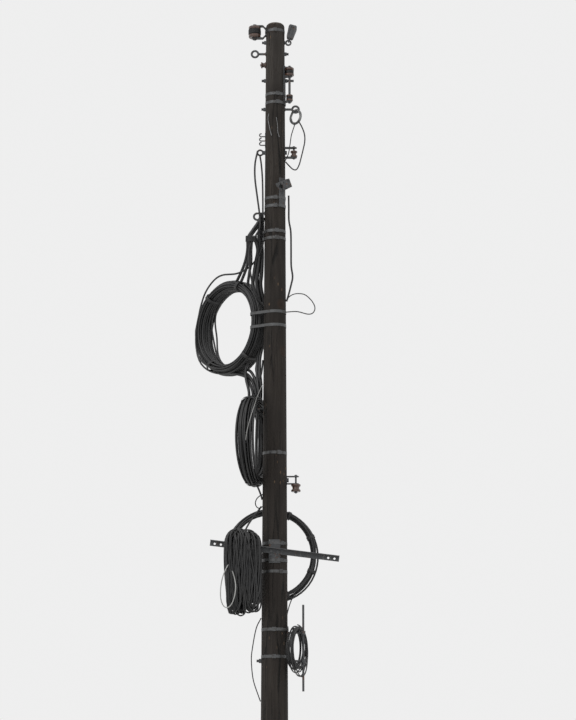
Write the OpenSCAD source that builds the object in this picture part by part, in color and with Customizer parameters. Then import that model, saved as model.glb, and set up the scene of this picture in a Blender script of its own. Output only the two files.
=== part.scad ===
// Wooden pole of an overhead line, above the ground, with its irons, straps,
// insulators and the spare cable that is coiled and hung on it.
// Millimetres. Z is up, the origin is the centre of the pole at the ground line.
// Heights are given as a drop below the pole's top. Azimuth 0 is +X, 90 is +Y.

/* [Pole] */
// Height of the pole above the ground
pole_height = 6700; // [6400:50:7400]
// Diameter of the pole at the ground line
pole_base_d = 195; // [190:1:206]
// Loss of diameter for each metre of height
pole_taper = 10.6; // [9.6:0.1:11]
// Rounding of the pole's top edge
pole_top_round = 26; // [14:1:36]

/* [Steel straps] */
// Width of the steel strap
strap_w = 19; // [12:1:20]
// Thickness of the steel strap
strap_t = 1.2; // [0.8:0.1:2]
// Width of a buckle, along the pole
buckle_w = 26; // [22:1:32]
// Length of a buckle, round the pole
buckle_l = 24; // [18:1:30]
// Thickness of a buckle
buckle_t = 5; // [4:0.5:7]

/* [Bolts] */
// Diameter of a through bolt
bolt_d = 16; // [12:1:18]
// Side of a square washer
washer_w = 44; // [36:1:48]
// Thickness of a square washer
washer_t = 4; // [3:0.5:6]
// Width of a nut over its corners
nut_d = 27; // [24:1:32]
// Height of a nut
nut_h = 13; // [10:1:16]
// Length of thread that stands out of a nut
bolt_tail = 14; // [6:1:30]
// Clearance round a bolt and at a seat
fit = 0.3; // [0.2:0.1:0.6]

/* [Insulators] */
// Diameter of the large spool
large_spool_d = 82; // [74:1:88]
// Height of the large spool
large_spool_h = 80; // [70:1:86]
// Diameter of the upper spool of the rack
rack_spool_d = 60; // [52:1:62]
// Height of the upper spool of the rack
rack_spool_h = 56; // [48:1:58]
// Diameter of the small spools
small_spool_d = 46; // [38:1:50]
// Height of the small spools
small_spool_h = 42; // [34:1:44]

/* [Top irons] */
// Drop of the top strap
top_strap_drop = 58; // [54:1:64]
// Drop of the left iron's centre
left_iron_drop = 58; // [54:1:64]
// Distance of the left iron's pin from the pole's surface
left_iron_reach = 76; // [70:1:90]
// Drop of the anchor clamp's eye bolt
anchor_eye_drop = 132; // [128:1:136]
// Angle of the anchor clamp above the horizontal
anchor_angle = 74; // [45:1:78]
// Length of the anchor clamp's body
anchor_length = 94; // [80:1:104]
// Drop of the left eye bolt
left_eye_drop = 212; // [206:1:220]
// Reach of the left eye from the pole's surface
left_eye_reach = 73; // [60:1:90]
// Drop of the side knob
knob_drop = 290; // [284:1:296]
// Diameter of the side knob
knob_d = 42; // [36:1:46]

/* [Rack] */
// Drop of the rack's upper end
rack_drop = 300; // [296:1:306]
// Length of the rack
rack_length = 276; // [270:1:290]
// Azimuth of the rack
rack_azimuth = -10; // [-16:1:-8]
// Distance of the rack's rod from the pole's surface
rack_reach = 33; // [32:1:40]
// Diameter of the rack's rod
rack_rod_d = 16; // [10:1:18]

/* [Right side irons] */
// Drop of the wire ring's eye bolt
ring_eye_drop = 600; // [598:1:606]
// Drop of the right clevis
clevis_drop = 901; // [890:1:915]
// Clear height between the arms of the right clevis
clevis_gap = 62; // [56:1:70]
// Distance of a clevis pin from the pole's surface
clevis_reach = 58; // [54:1:66]
// Drop of the cable clamp
clamp_drop = 1140; // [1130:1:1150]
// Diameter of the cable that the clamp takes
clamp_bore = 28; // [20:1:32]
// Drop of the lower clevis
low_clevis_drop = 3100; // [3090:1:3120]
// Clear height between the arms of the lower clevis
low_clevis_gap = 42; // [38:1:50]

/* [Left side irons] */
// Drop of the hook plate
hook_plate_drop = 815; // [805:1:820]
// Drop of the pigtail bolt
pigtail_drop = 1318; // [1310:1:1330]
// Radius of the pigtail's curl
pigtail_r = 22; // [18:1:26]

/* [Coils] */
// Mean radius of the first coil
coil_1_r = 284; // [270:1:290]
// Half the thickness of the first coil's bundle, across its turns
coil_1_half_t = 34; // [30:1:36]
// Half the width of the first coil's bundle
coil_1_half_w = 68; // [50:1:72]
// Mean radius of the second coil
coil_2_r = 260; // [250:1:270]
// Half the thickness of the second coil's bundle, across its turns
coil_2_half_t = 40; // [34:1:42]
// Half the width of the second coil's bundle
coil_2_half_w = 50; // [42:1:52]
// Mean radius of the ring coil
ring_r = 280; // [260:1:300]
// Radius of the ring coil's bundle
ring_bundle_r = 25; // [20:1:28]
// Mean radius of the small coil
small_coil_r = 135; // [125:1:140]
// Radius of the small coil's bundle
small_bundle_r = 25; // [20:1:26]

/* [Cable arm] */
// Drop of the arm's centre
arm_drop = 3568; // [3560:1:3576]
// Length of the arm
arm_length = 830; // [780:10:900]
// Leg of the arm's angle iron
arm_leg = 36; // [34:1:40]
// Thickness of the arm's angle iron
arm_t = 4; // [3:0.5:6]
// Slope of the arm, down to the right
arm_slope = 7.1; // [0:0.1:9]
// Diameter of the spare holes in the arm
arm_hole_d = 14; // [10:1:16]

/* [Stand-off rod] */
// Diameter of the stand-off rod
rod_d = 14; // [12:1:16]
// Length of the stand-off rod
rod_length = 548; // [500:1:600]
// Distance of the rod from the pole's axis
rod_x = 183; // [180:1:196]
// Height of the upper arm of the rod bracket, below the cable arm
rod_below_arm = 513; // [508:1:518]
// Height between the two arms of the rod bracket
rod_arm_span = 178; // [169:1:185]
// Length of the rod above the upper arm of its bracket
rod_head = 178; // [150:1:200]

/* [Hidden] */
$fn = 64;
FLAT_CUT = 0.5;
STEEL = [0.35, 0.36, 0.37];
STRAP = [0.62, 0.63, 0.64];
PORCELAIN = [0.22, 0.13, 0.09];
WOOD = [0.2, 0.16, 0.13];
CABLE = [0.06, 0.06, 0.065];

iron_t = 5;
iron_w = 38;
iron_root_h = 56;
pin_d = 16;
pin_end = 9;
spool_bore = pin_d + 1;
plate_w = 40;
plate_t = 5;
eye_r = 22;
eye_bar_r = 7;
ring_eye_reach = 71;
pigtail_reach = 50;
eye_nut_r = 18;
eye_nut_bar_r = 6;
eye_nut_body = 18;
eye_nut_thread = 13;
small_washer_w = 28;
low_screw_l = 70;
collar_d = 26;
collar_t = 5;
anchor_eye_r = 16;
anchor_eye_bar_r = 6;
anchor_start = 24;
anchor_depth = 46;
anchor_near_w = 44;
anchor_far_w = 56;
anchor_bore = 20;
bail_bar_r = 4;
bail_r = 17;
knob_h = 36;
rack_span = 44;
rack_lug_t = 6;
rack_lug_w = 34;
rack_bolt_below = 100;
rack_bolt_end = 60;
ring_wire_r = 46;
ring_wire_bundle_r = 9;
ring_wire_turn = -45;
hook_count = 3;
hook_pitch = 30;
hook_out = 26;
hook_curl_r = 10;
hook_bar_d = 12;
small_hook_d = 8;
clevis_pin_d = 12;
low_knob_d = 62;
low_knob_h = 50;
jaw_length = 84;
jaw_w = 58;
jaw_slope = 29;
jaw_wall = 9;
clamp_plate_h = 200;
clamp_plate_below = 50;
clamp_span = 46;
clamp_azimuth = -45;
hook_foot_d = 44;
hook_foot_t = 6;
hook_bend = 16;
hook_rise = 26;
pad_w = 70;
pad_h = 150;
pad_block_h = 60;
pad_t = 8;
pad_tongue_t = 4;
pad_span = 52;
arm_bolt_d = 12;
arm_hole_inset = 30;
arm_hole_pitch = 40;
ring_below_arm = 6;
ring_gap = 3;
skein_side = 66;
skein_slot = 48;
skein_head = 95;
rod_arm_d = 12;
rod_collar_d = 28;
rod_collar_h = 24;
rod_foot_h = 62;
rod_foot_span = 36;

// Drops of the straps that hold pieces to the pole
rack_strap_drops = [rack_drop + 205, rack_drop + rack_length - 12];
clamp_strap_drops = [clamp_drop + 84, clamp_drop + 139];
guide_strap_drops = [1449, 1497];
coil_strap_drop = 2927;
arm_strap_drops = [arm_drop - 54, arm_drop + 55];
skein_strap_drop = arm_drop + 127;
rod_upper_drop = arm_drop + rod_below_arm;
rod_lower_drop = rod_upper_drop + rod_arm_span;
rod_strap_drops = [rod_upper_drop - 18, rod_lower_drop - 25];

function pole_r(z) = (pole_base_d - pole_taper * z / 1000) / 2;
function up(drop) = pole_height - drop;
function r_at(drop) = pole_r(up(drop));
// Plane of a flat cut in the pole that is w wide over the height h
function flat_x(drop, w, h) = sqrt(pow(pole_r(up(drop) + h / 2), 2) - pow(w / 2, 2)) - FLAT_CUT;

// Angle by which a strap clears the sides of what it passes over
strap_ease = 2;

// Big coils: turn about Z, centre in plan and drop of the centre
coil_1_turn = -47;
coil_1_drop = 2039;
coil_1_out = [cos(coil_1_turn), sin(coil_1_turn)];
coil_1_axis = [-sin(coil_1_turn), cos(coil_1_turn)];
// Place of the pole's axis along the width of the first coil's bundle
coil_1_shift = 34;
// Drop below the first coil's centre to which its rim leans on the pole
coil_1_rest = 60;
coil_1_centre = -coil_1_out * (r_at(coil_1_drop + coil_1_rest) + fit + coil_1_half_t + coil_1_r)
    - coil_1_axis * coil_1_shift;
coil_1_strap_offset = 45;
coil_1_strap_play = 2.4;
coil_2_turn = 74;
coil_2_drop = 2843;
coil_2_seat = r_at(coil_2_drop + coil_2_r) + coil_2_half_w + fit;
coil_2_centre = [-coil_2_seat / sin(coil_2_turn), 0];
coil_2_hook_drop = coil_2_drop - coil_2_r + coil_2_half_t + fit + hook_bar_d / 2;
coil_2_azimuth = atan2(coil_2_centre[1], coil_2_centre[0]);
ring_drop = arm_drop + ring_below_arm;
ring_centre = [-23, r_at(ring_drop + ring_r) + ring_bundle_r + ring_gap];
ring_azimuth = atan2(ring_centre[1], ring_centre[0]);
ring_hook_inset = ring_r - ring_bundle_r - fit - hook_bar_d / 2;
small_coil_turn = 70;
small_coil_centre = [145, 0];
small_coil_drop = rod_upper_drop - rod_arm_d / 2 - fit - small_bundle_r + small_coil_r;
arm_face = pole_r(up(arm_drop) - pad_block_h / 2) + pad_t;
// Skeins: place along X, width, height of the lower end below the cable arm
skeins = [[-262, 112, 413], [-148, 108, 381]];
skein_y = -arm_face - arm_leg / 2;

// Cord diameters and their routes as [x, y, drop]
riser_d = 12;
wire_d = 7;
jumper_d = 9;
riser_left_route = [
    [-102, -12.3, 918], [-92, -16, 985], [-84, -14, 1088], [-81, -15, 1240], [-80.5, -14, 1318],
    [-77, -6, 1390], [-75.6, 0, 1449], [-76, 0, 1497], [-84, 6, 1545], [-112, 28, 1606], [-170, 76, 1664],
    [-253, 135, 1694], [-356, 244, 1680], [-418, 310, 1706], [-474, 371, 1776], [-519, 426, 1880.5],
];
coil_lead_route = [
    [-117, -12.3, 893], [-133, -26, 985], [-133, -30, 1088], [-116, -30, 1226], [-103, -36, 1329],
    [-100, -42, 1420], [-124, -38, 1474], [-158, -24, 1526], [-172, -8, 1600], [-162, 2, 1720],
    [-132, 8, 1850], [-103, 10.6, 1955],
];
riser_right_route = [
    [90, 16, 1192], [91, 16, 1275], [92, 16, 1363], [104, 18, 1438], [106, 18, 1550],
    [107, 18, 1669], [116, 18, 1744], [106, 18, 1800], [86, 16, 1880], [76, 14, 1912],
];
jumper_loop_route = [
    [157, -26, 690], [182, -34, 742], [203, -36, 795], [190, -36, 850], [174, -34, 915],
    [164, -32, 970], [157, -30, 1006], [141, -28, 1032], [120, -24, 1026], [92, -20, 995], [70, -14, 968],
];
jumper_wire_route = [
    [122, -30, 690], [118, -38, 752], [106, -42, 794], [99, -42, 856], [88, -38, 920], [66, -24, 966],
];
side_loop_route = [
    [74, -14, 1910], [94, -22, 1889], [121, -28, 1874], [158, -32, 1870], [200, -34, 1880],
    [243, -36, 1922], [262, -36, 1966], [249, -36, 2000], [215, -34, 2008], [145, -28, 1990], [74, -14, 1990],
];
foot_wire_route = [
    [-86, -6, 3988], [-117, -12, 4055], [-140, -16, 4176], [-147, -18, 4257],
    [-135, -18, 4377], [-102, -12, 4478], [-88.8, -6, 4514],
];

// Drops of the through bolts, all along X
bolt_drops = [
    anchor_eye_drop, left_eye_drop, rack_drop + rack_bolt_below, ring_eye_drop, clevis_drop,
    rod_lower_drop,
];
// Flat seats in the pole: drop, azimuth, width, height
flats = [
    [anchor_eye_drop, 0, collar_d, collar_d], [anchor_eye_drop, 180, washer_w, washer_w],
    [left_eye_drop, 180, collar_d, collar_d], [left_eye_drop, 0, washer_w, washer_w],
    [knob_drop, 180, knob_d, knob_d], [rack_drop + rack_bolt_below, 180, washer_w, washer_w],
    [ring_eye_drop, 0, collar_d, collar_d], [ring_eye_drop, 180, washer_w, washer_w],
    [hook_plate_drop, 180, plate_w, hook_count * hook_pitch],
    [clevis_drop, 0, plate_w, clevis_gap + 2 * plate_t], [clevis_drop, 180, washer_w, washer_w],
    [pigtail_drop, 180, collar_d, collar_d],
    [coil_2_hook_drop, coil_2_azimuth, hook_foot_d, hook_foot_d],
    [low_clevis_drop, 0, plate_w, low_clevis_gap + 2 * plate_t],
    [ring_drop - ring_hook_inset, ring_azimuth, hook_foot_d, hook_foot_d],
    [ring_drop + ring_hook_inset, ring_azimuth, hook_foot_d, hook_foot_d],
    [rod_lower_drop, 180, small_washer_w, small_washer_w],
];

module around(drop, az) {
    translate([0, 0, up(drop)]) rotate([0, 0, az]) children();
}

// The plain tapered pole with the seat clearance, which trims what sits on it
module pole_core(extra = fit) {
    cylinder(h = pole_height + 200, r1 = pole_r(0) + extra, r2 = pole_r(pole_height + 200) + extra);
}

// Part of a ring that hugs the pole, centred on azimuth 0
module wrap(drop, h, t, span = 360, lift = 0) {
    low = pole_r(up(drop) - h / 2) + fit + lift;
    high = pole_r(up(drop) + h / 2) + fit + lift;
    rotate([0, 0, -span / 2])
        rotate_extrude(angle = span)
            polygon([[low, -h / 2], [low + t, -h / 2], [high + t, h / 2], [high, h / 2]]);
}

// Plain disc with a sector of a larger disc for each raised stretch
module strap_outline(r, raised, ease) {
    far = 2 * r;
    circle(r = r);
    for (s = raised)
        rotate(s[0])
            intersection() {
                circle(r = r + s[2] + fit);
                polygon([
                    [0, 0], [far, -far * tan(s[1] + ease)], [far, far * tan(s[1] + ease)],
                ]);
            }
}

// Strap round the pole. Each raised stretch is [azimuth, half angle of the piece under it, lift].
module strap(drop, raised = [], buckle_az = -90) {
    r = r_at(drop) + fit;
    bend = asin(strap_t / r);
    translate([0, 0, up(drop)]) difference() {
        union() {
            linear_extrude(strap_w, center = true) strap_outline(r + strap_t, raised, strap_ease + bend);
            rotate([0, 0, buckle_az]) buckle(r);
        }
        linear_extrude(2 * buckle_w, center = true) strap_outline(r, raised, strap_ease);
    }
}

// Folded clip that closes a strap, with the strap's tail bent back over it
module buckle(r) {
    fold = 1.5;
    difference() {
        translate([r - 2, -buckle_l / 2, -buckle_w / 2]) cube([2 + strap_t + buckle_t, buckle_l, buckle_w]);
        translate([r + strap_t + buckle_t - fold, -buckle_l / 2 + 4, -strap_w / 2])
            cube([2 * fold, buckle_l - 8, strap_w]);
    }
}

// Bolt along X through the pole, head at +X, into the washer on the far side
module through_bolt(drop, head_x, washer = washer_w) {
    end = -flat_x(drop, washer, washer) - washer_t;
    translate([end, 0, 0]) rotate([0, 90, 0]) cylinder(h = head_x - end, d = bolt_d);
}

module nut(x, side = 1) {
    translate([x, 0, 0]) rotate([0, side * 90, 0]) cylinder(h = nut_h, d = nut_d, $fn = 6);
}

module square_washer(x, side = 1, w = washer_w) {
    translate([side > 0 ? x : x - washer_t, -w / 2, -w / 2]) cube([washer_t, w, w]);
}

// Nut, washer and thread end on the side away from a bolt's head
module bolt_far_end(drop, tail = bolt_tail, washer = washer_w) {
    seat = flat_x(drop, washer, washer) + fit;
    square_washer(-seat, -1, washer);
    nut(-seat - washer_t, -1);
    translate([-seat - washer_t - nut_h - tail, 0, 0])
        rotate([0, 90, 0]) cylinder(h = tail + 1, d = bolt_d);
}

// Flat seat cut in the pole's side
module seat_cut(drop, az, w, h) {
    around(drop, az)
        translate([flat_x(drop, w, h), -w / 2 - fit, -h / 2 - fit])
            cube([60, w + 2 * fit, h + 2 * fit]);
}

// Spool insulator standing on its centre
module spool(d, h, bore) {
    edge = h * 0.1;
    groove_r = h * 0.27;
    rotate_extrude()
        difference() {
            union() {
                translate([bore / 2, -h / 2]) square([d / 2 - edge - bore / 2, h]);
                translate([bore / 2, -h / 2 + edge]) square([d / 2 - bore / 2, h - 2 * edge]);
                for (z = [-1, 1])
                    translate([d / 2 - edge, z * (h / 2 - edge)]) circle(r = edge);
            }
            translate([d / 2 + groove_r * 0.35, 0]) circle(r = groove_r);
        }
}

// One arm of a strap iron: root_a above the centre at the pole, mouth_b above it at the pin
module iron_arm(drop, root_a, mouth_b, pin_x, w, t) {
    r = r_at(drop);
    flare = r + t + (mouth_b - root_a) * 0.9;
    difference() {
        intersection() {
            rotate([90, 0, 0])
                translate([0, 0, -w / 2])
                    linear_extrude(w)
                        polygon([
                            [r - 12, root_a], [r + t, root_a], [flare, mouth_b], [pin_x + w, mouth_b],
                            [pin_x + w, mouth_b + t], [flare, mouth_b + t], [r + t, root_a + t],
                            [r - 12, root_a + t],
                        ]);
            linear_extrude(mouth_b + 2 * t) {
                translate([0, -w / 2]) square([pin_x, w]);
                translate([pin_x, 0]) circle(d = w);
            }
        }
        translate([0, 0, -up(drop)]) pole_core(fit + t / 2);
    }
}

// Vertical pin with a hexagonal head and nut outside its two arms
module arm_pin(x, low, high, d) {
    translate([x, 0, low - pin_end]) cylinder(h = high - low + 2 * pin_end, d = d);
    translate([x, 0, high]) cylinder(h = d * 0.5, d = d * 1.7, $fn = 6);
    translate([x, 0, low - d * 0.5]) cylinder(h = d * 0.5, d = d * 1.7, $fn = 6);
}

// Round bar ring in the XZ plane
module eye(x, r, bar_r) {
    translate([x, 0, 0]) rotate([90, 0, 0]) rotate_extrude() translate([r, 0]) circle(r = bar_r);
}

// Eye bolt along +X: collar on its flat, neck, ring at x, nut on the far side
module eye_bolt(drop, x, r, bar_r) {
    seat = flat_x(drop, collar_d, collar_d) + fit;
    through_bolt(drop, x - r);
    translate([seat, 0, 0]) rotate([0, 90, 0]) cylinder(h = collar_t, d = collar_d);
    eye(x, r, bar_r);
    bolt_far_end(drop);
}

// Round hook bar: out from the pole on a flanged foot, then up or down at its end
module coil_hook(drop, end_x, turn_up = 1) {
    foot_x = flat_x(drop, hook_foot_d, hook_foot_d) + fit;
    translate([foot_x, 0, 0]) rotate([0, 90, 0]) cylinder(h = hook_foot_t, d = hook_foot_d);
    translate([foot_x, 0, 0]) rotate([0, 90, 0]) cylinder(h = end_x - hook_bend - foot_x, d = hook_bar_d);
    mirror([0, 0, turn_up > 0 ? 0 : 1]) {
        translate([end_x - hook_bend, 0, hook_bend])
            rotate([90, 0, 0]) rotate([0, 0, -90])
                rotate_extrude(angle = 90) translate([hook_bend, 0]) circle(d = hook_bar_d);
        translate([end_x, 0, hook_bend]) cylinder(h = hook_rise, d = hook_bar_d);
        translate([end_x, 0, hook_bend + hook_rise]) sphere(d = hook_bar_d);
    }
}

// Bundle of turns in an upright plane: mean radius, half thickness and half width of its section
module coil(centre, drop, turn, r, half_t, half_w) {
    translate([centre[0], centre[1], up(drop)])
        rotate([0, 0, turn])
            rotate([90, 0, 0])
                rotate_extrude() translate([r, 0]) bundle_outline(half_t, half_w);
}

// Round-ended section, widest along Y
module bundle_outline(half_t, half_w) {
    if (half_w > half_t)
        translate([-half_t, half_t - half_w]) square([2 * half_t, 2 * (half_w - half_t)]);
    for (side = [-1, 1])
        translate([0, side * (half_w - half_t)]) circle(r = half_t);
}

// Smooth curve through chosen points, and a tube along it
function spline(a, b, c, d, t) =
    0.5 * ((2 * b) + (c - a) * t + (2 * a - 5 * b + 4 * c - d) * t * t
    + (3 * b - a - 3 * c + d) * t * t * t);
function route(p, n) = let (last = len(p) - 1) concat(
    [for (i = [0:last - 1])
        let (a = i == 0 ? 2 * p[0] - p[1] : p[i - 1], d = i == last - 1 ? 2 * p[last] - p[last - 1] : p[i + 2])
        for (k = [0:n - 1]) spline(a, p[i], p[i + 1], d, k / n)],
    [p[last]]);
function unit(v) = v / norm(v);
function heading(q, i) = unit(q[min(i + 1, len(q) - 1)] - q[max(i - 1, 0)]);
// Side vectors carried along the route without twist
function sides(q, i, s) =
    let (t = heading(q, i), n = unit(s - (s * t) * t))
    i == len(q) - 1 ? [n] : concat([n], sides(q, i + 1, n));
module tube(drop_route, d, steps = 5, facets = 8) {
    start_side = [0.02, 1, 0.01];
    q = route([for (p = drop_route) [p[0], p[1], up(p[2])]], steps);
    s = sides(q, 0, start_side);
    rings = [for (i = [0:len(q) - 1])
        let (t = heading(q, i), b = cross(t, s[i]))
        for (k = [0:facets - 1])
            q[i] + d / 2 * (cos(360 * k / facets) * s[i] + sin(360 * k / facets) * b)];
    count = len(q);
    walls = [for (i = [0:count - 2]) for (k = [0:facets - 1])
        let (k2 = (k + 1) % facets)
        [i * facets + k, (i + 1) * facets + k, (i + 1) * facets + k2, i * facets + k2]];
    start_cap = [[for (k = [0:facets - 1]) k]];
    end_cap = [[for (k = [facets - 1:-1:0]) (count - 1) * facets + k]];
    polyhedron(points = rings, faces = concat(walls, start_cap, end_cap), convexity = 6);
}

// Half the angle that a width takes at the pole's surface
function half_angle(drop, w) = asin(w / 2 / r_at(drop));

module pole_shaft() {
    shoulder = pole_height - pole_top_round;
    top_r = pole_r(shoulder);
    color(WOOD) difference() {
        rotate_extrude() {
            polygon([[0, 0], [pole_r(0), 0], [top_r, shoulder], [0, shoulder]]);
            translate([0, shoulder - 1]) square([top_r - pole_top_round, pole_top_round + 1]);
            translate([top_r - pole_top_round, shoulder])
                intersection() {
                    circle(r = pole_top_round);
                    square(pole_top_round);
                }
        }
        for (drop = bolt_drops)
            translate([-200, 0, up(drop)]) rotate([0, 90, 0]) cylinder(h = 400, d = bolt_d + 2 * fit);
        translate([0, 0, up(low_clevis_drop)])
            rotate([0, 90, 0]) cylinder(h = 200, d = bolt_d + 2 * fit);
        for (f = flats)
            seat_cut(f[0], f[1], f[2], f[3]);
    }
}

module top_strap() {
    color(STRAP) strap(top_strap_drop, [[180, half_angle(top_strap_drop, iron_w), iron_t]]);
}

module left_iron() {
    root_a = iron_root_h / 2 - iron_t;
    mouth_b = large_spool_h / 2 + fit;
    pin_x = r_at(left_iron_drop) + left_iron_reach;
    color(STEEL) around(left_iron_drop, 180) {
        wrap(left_iron_drop, iron_root_h, iron_t, 2 * half_angle(left_iron_drop, iron_w));
        iron_arm(left_iron_drop, root_a, mouth_b, pin_x, iron_w, iron_t);
        mirror([0, 0, 1]) iron_arm(left_iron_drop, root_a, mouth_b, pin_x, iron_w, iron_t);
        arm_pin(pin_x, -mouth_b - iron_t, mouth_b + iron_t, pin_d);
    }
}

module left_spool() {
    color(PORCELAIN) around(left_iron_drop, 180)
        translate([r_at(left_iron_drop) + left_iron_reach, 0, 0])
            spool(large_spool_d, large_spool_h, spool_bore);
}

// Distance of the anchor eye's centre from the pole's axis
anchor_eye_x = flat_x(anchor_eye_drop, collar_d, collar_d) + collar_t + anchor_eye_r + anchor_eye_bar_r;

module anchor_eye() {
    color(STEEL) around(anchor_eye_drop, 0)
        eye_bolt(anchor_eye_drop, anchor_eye_x, anchor_eye_r, anchor_eye_bar_r);
}

// Wedge clamp whose wire bail hooks in the eye; its jaws are empty
module anchor_clamp() {
    near = anchor_near_w / 2;
    far = anchor_far_w / 2;
    end = anchor_start + anchor_length;
    bail_seat = anchor_eye_r - anchor_eye_bar_r - bail_bar_r - fit;
    color(STEEL) around(anchor_eye_drop, 0)
        translate([anchor_eye_x, 0, 0]) rotate([0, -anchor_angle, 0]) translate([bail_seat, 0, 0]) {
            difference() {
                rotate([90, 0, 0])
                    translate([0, 0, -anchor_depth / 2])
                        linear_extrude(anchor_depth)
                            polygon([
                                [anchor_start, -near + 6], [anchor_start + 8, -near], [end - 16, -far],
                                [end - 4, -far + 3], [end, -far + 10], [end, far - 10],
                                [end - 4, far - 3], [end - 16, far], [anchor_start + 8, near],
                                [anchor_start, near - 6],
                            ]);
                translate([anchor_start - 1, 0, 0])
                    rotate([0, 90, 0]) cylinder(h = anchor_length + 2, d = anchor_bore);
                for (side = [-1, 1])
                    translate([anchor_start + 22, side * anchor_depth / 2 - 4, -near * 0.6])
                        cube([anchor_length - 36, 8, near * 1.2]);
            }
            for (side = [-1, 1])
                translate([bail_r, side * bail_r, 0])
                    rotate([0, 90, 0]) cylinder(h = anchor_start - bail_r + 6, r = bail_bar_r);
            translate([bail_r, 0, 0])
                rotate([0, 0, 90])
                    rotate_extrude(angle = 180) translate([bail_r, 0]) circle(r = bail_bar_r);
        }
}

module left_eye_bolt() {
    color(STEEL) around(left_eye_drop, 180)
        eye_bolt(left_eye_drop, r_at(left_eye_drop) + left_eye_reach, eye_r, eye_bar_r);
}

module side_knob() {
    seat = flat_x(knob_drop, knob_d, knob_d) + fit;
    color(PORCELAIN) around(knob_drop, 180) {
        translate([seat + knob_h / 2, 0, 0]) rotate([0, 90, 0]) spool(knob_d, knob_h, pin_d / 2);
        translate([seat, 0, 0]) rotate([0, 90, 0]) cylinder(h = knob_h + 4, d = pin_d / 2 + 1);
        translate([seat + knob_h, 0, 0]) rotate([0, 90, 0]) cylinder(h = 5, d = pin_d);
    }
}

rack_centre_drop = rack_drop + rack_length / 2;
rack_rod_x = r_at(rack_centre_drop) + rack_reach;
rack_upper_spool_drop = rack_drop + 10 + rack_lug_t + rack_spool_h / 2;
rack_low_lug_drop = rack_drop + rack_length - 26;
rack_lower_spool_drop = rack_low_lug_drop - rack_lug_t / 2 - fit - small_spool_h / 2;
rack_lug_drops = [
    rack_upper_spool_drop - rack_spool_h / 2 - fit - rack_lug_t / 2,
    rack_upper_spool_drop + rack_spool_h / 2 + fit + rack_lug_t / 2,
    rack_low_lug_drop,
];

// Spine on the pole's side, three lugs and the rod through them
module rack_frame() {
    rod_over = 12;
    color(STEEL) {
        difference() {
            around(rack_centre_drop, rack_azimuth)
                wrap(rack_centre_drop, rack_length, plate_t, rack_span);
            translate([0, 0, up(rack_drop + rack_bolt_below)])
                rotate([0, 90, 0]) cylinder(h = 200, d = bolt_d + 2 * fit);
        }
        for (drop = rack_lug_drops)
            difference() {
                around(drop, rack_azimuth)
                    translate([0, 0, -rack_lug_t / 2])
                        linear_extrude(rack_lug_t) {
                            translate([r_at(drop) - 5, -rack_lug_w / 2])
                                square([rack_rod_x - r_at(drop) + 5, rack_lug_w]);
                            translate([rack_rod_x, 0]) circle(d = rack_lug_w);
                        }
                pole_core(fit + plate_t / 2);
            }
        around(rack_low_lug_drop, rack_azimuth)
            translate([rack_rod_x, 0, -rod_over])
                cylinder(h = rack_low_lug_drop - rack_lug_drops[0] + 2 * rod_over, d = rack_rod_d);
    }
}

module rack_bolt() {
    drop = rack_drop + rack_bolt_below;
    r = r_at(drop);
    color(STEEL) around(drop, 0) {
        through_bolt(drop, r + rack_bolt_end);
        nut(r + plate_t + 2 * fit);
        bolt_far_end(drop);
    }
}

module rack_upper_spool() {
    color(PORCELAIN) around(rack_upper_spool_drop, rack_azimuth)
        translate([rack_rod_x, 0, 0]) spool(rack_spool_d, rack_spool_h, rack_rod_d + 1);
}

module rack_lower_spool() {
    color(PORCELAIN) around(rack_lower_spool_drop, rack_azimuth)
        translate([rack_rod_x, 0, 0]) spool(small_spool_d, small_spool_h, rack_rod_d + 1);
}

module rack_straps() {
    color(STRAP)
        for (drop = rack_strap_drops)
            strap(drop, [[rack_azimuth, rack_span / 2, plate_t]], -75);
}

module ring_eye() {
    color(STEEL) around(ring_eye_drop, 0)
        eye_bolt(ring_eye_drop, r_at(ring_eye_drop) + ring_eye_reach, eye_r, eye_bar_r);
}

// Coil of tie wire that hangs in the eye
module wire_ring() {
    hang = ring_wire_r + eye_r - eye_bar_r - ring_wire_bundle_r - fit;
    color(CABLE) around(ring_eye_drop, 0)
        translate([r_at(ring_eye_drop) + ring_eye_reach, 0, -hang])
            rotate([0, 0, ring_wire_turn]) rotate([90, 0, 0])
                rotate_extrude() translate([ring_wire_r, 0]) circle(r = ring_wire_bundle_r);
}

// Flat bar with open hooks, one above the other
module hook_plate() {
    h = hook_count * hook_pitch;
    seat = flat_x(hook_plate_drop, plate_w, h) + fit;
    color(STEEL) around(hook_plate_drop, 180) {
        translate([seat, -plate_w / 2, -h / 2]) cube([plate_t, plate_w, h]);
        for (i = [0:hook_count - 1])
            translate([seat, 0, (i - (hook_count - 1) / 2) * hook_pitch - 4]) {
                rotate([0, 90, 0]) cylinder(h = plate_t + hook_out, d = small_hook_d);
                translate([plate_t + hook_out, 0, hook_curl_r])
                    rotate([90, 0, 0]) rotate([0, 0, -90])
                        rotate_extrude(angle = 200) translate([hook_curl_r, 0]) circle(d = small_hook_d);
            }
    }
}

// Flat root and two straight arms, joined by a pin
module clevis(drop, gap, pin_low) {
    seat = flat_x(drop, plate_w, gap + 2 * plate_t) + fit;
    pin_x = r_at(drop) + clevis_reach;
    b = gap / 2;
    translate([seat, -plate_w / 2, -b - plate_t]) cube([plate_t, plate_w, gap + 2 * plate_t]);
    for (z = [b, -b - plate_t])
        translate([0, 0, z]) linear_extrude(plate_t) {
            translate([seat, -plate_w / 2]) square([pin_x - seat, plate_w]);
            translate([pin_x, 0]) circle(d = plate_w);
        }
    arm_pin(pin_x, pin_low, b + plate_t, clevis_pin_d);
    translate([seat + plate_t, 0, 0])
        rotate([0, 90, 0]) cylinder(h = nut_h * 0.8, d = nut_d, $fn = 6);
}

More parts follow.
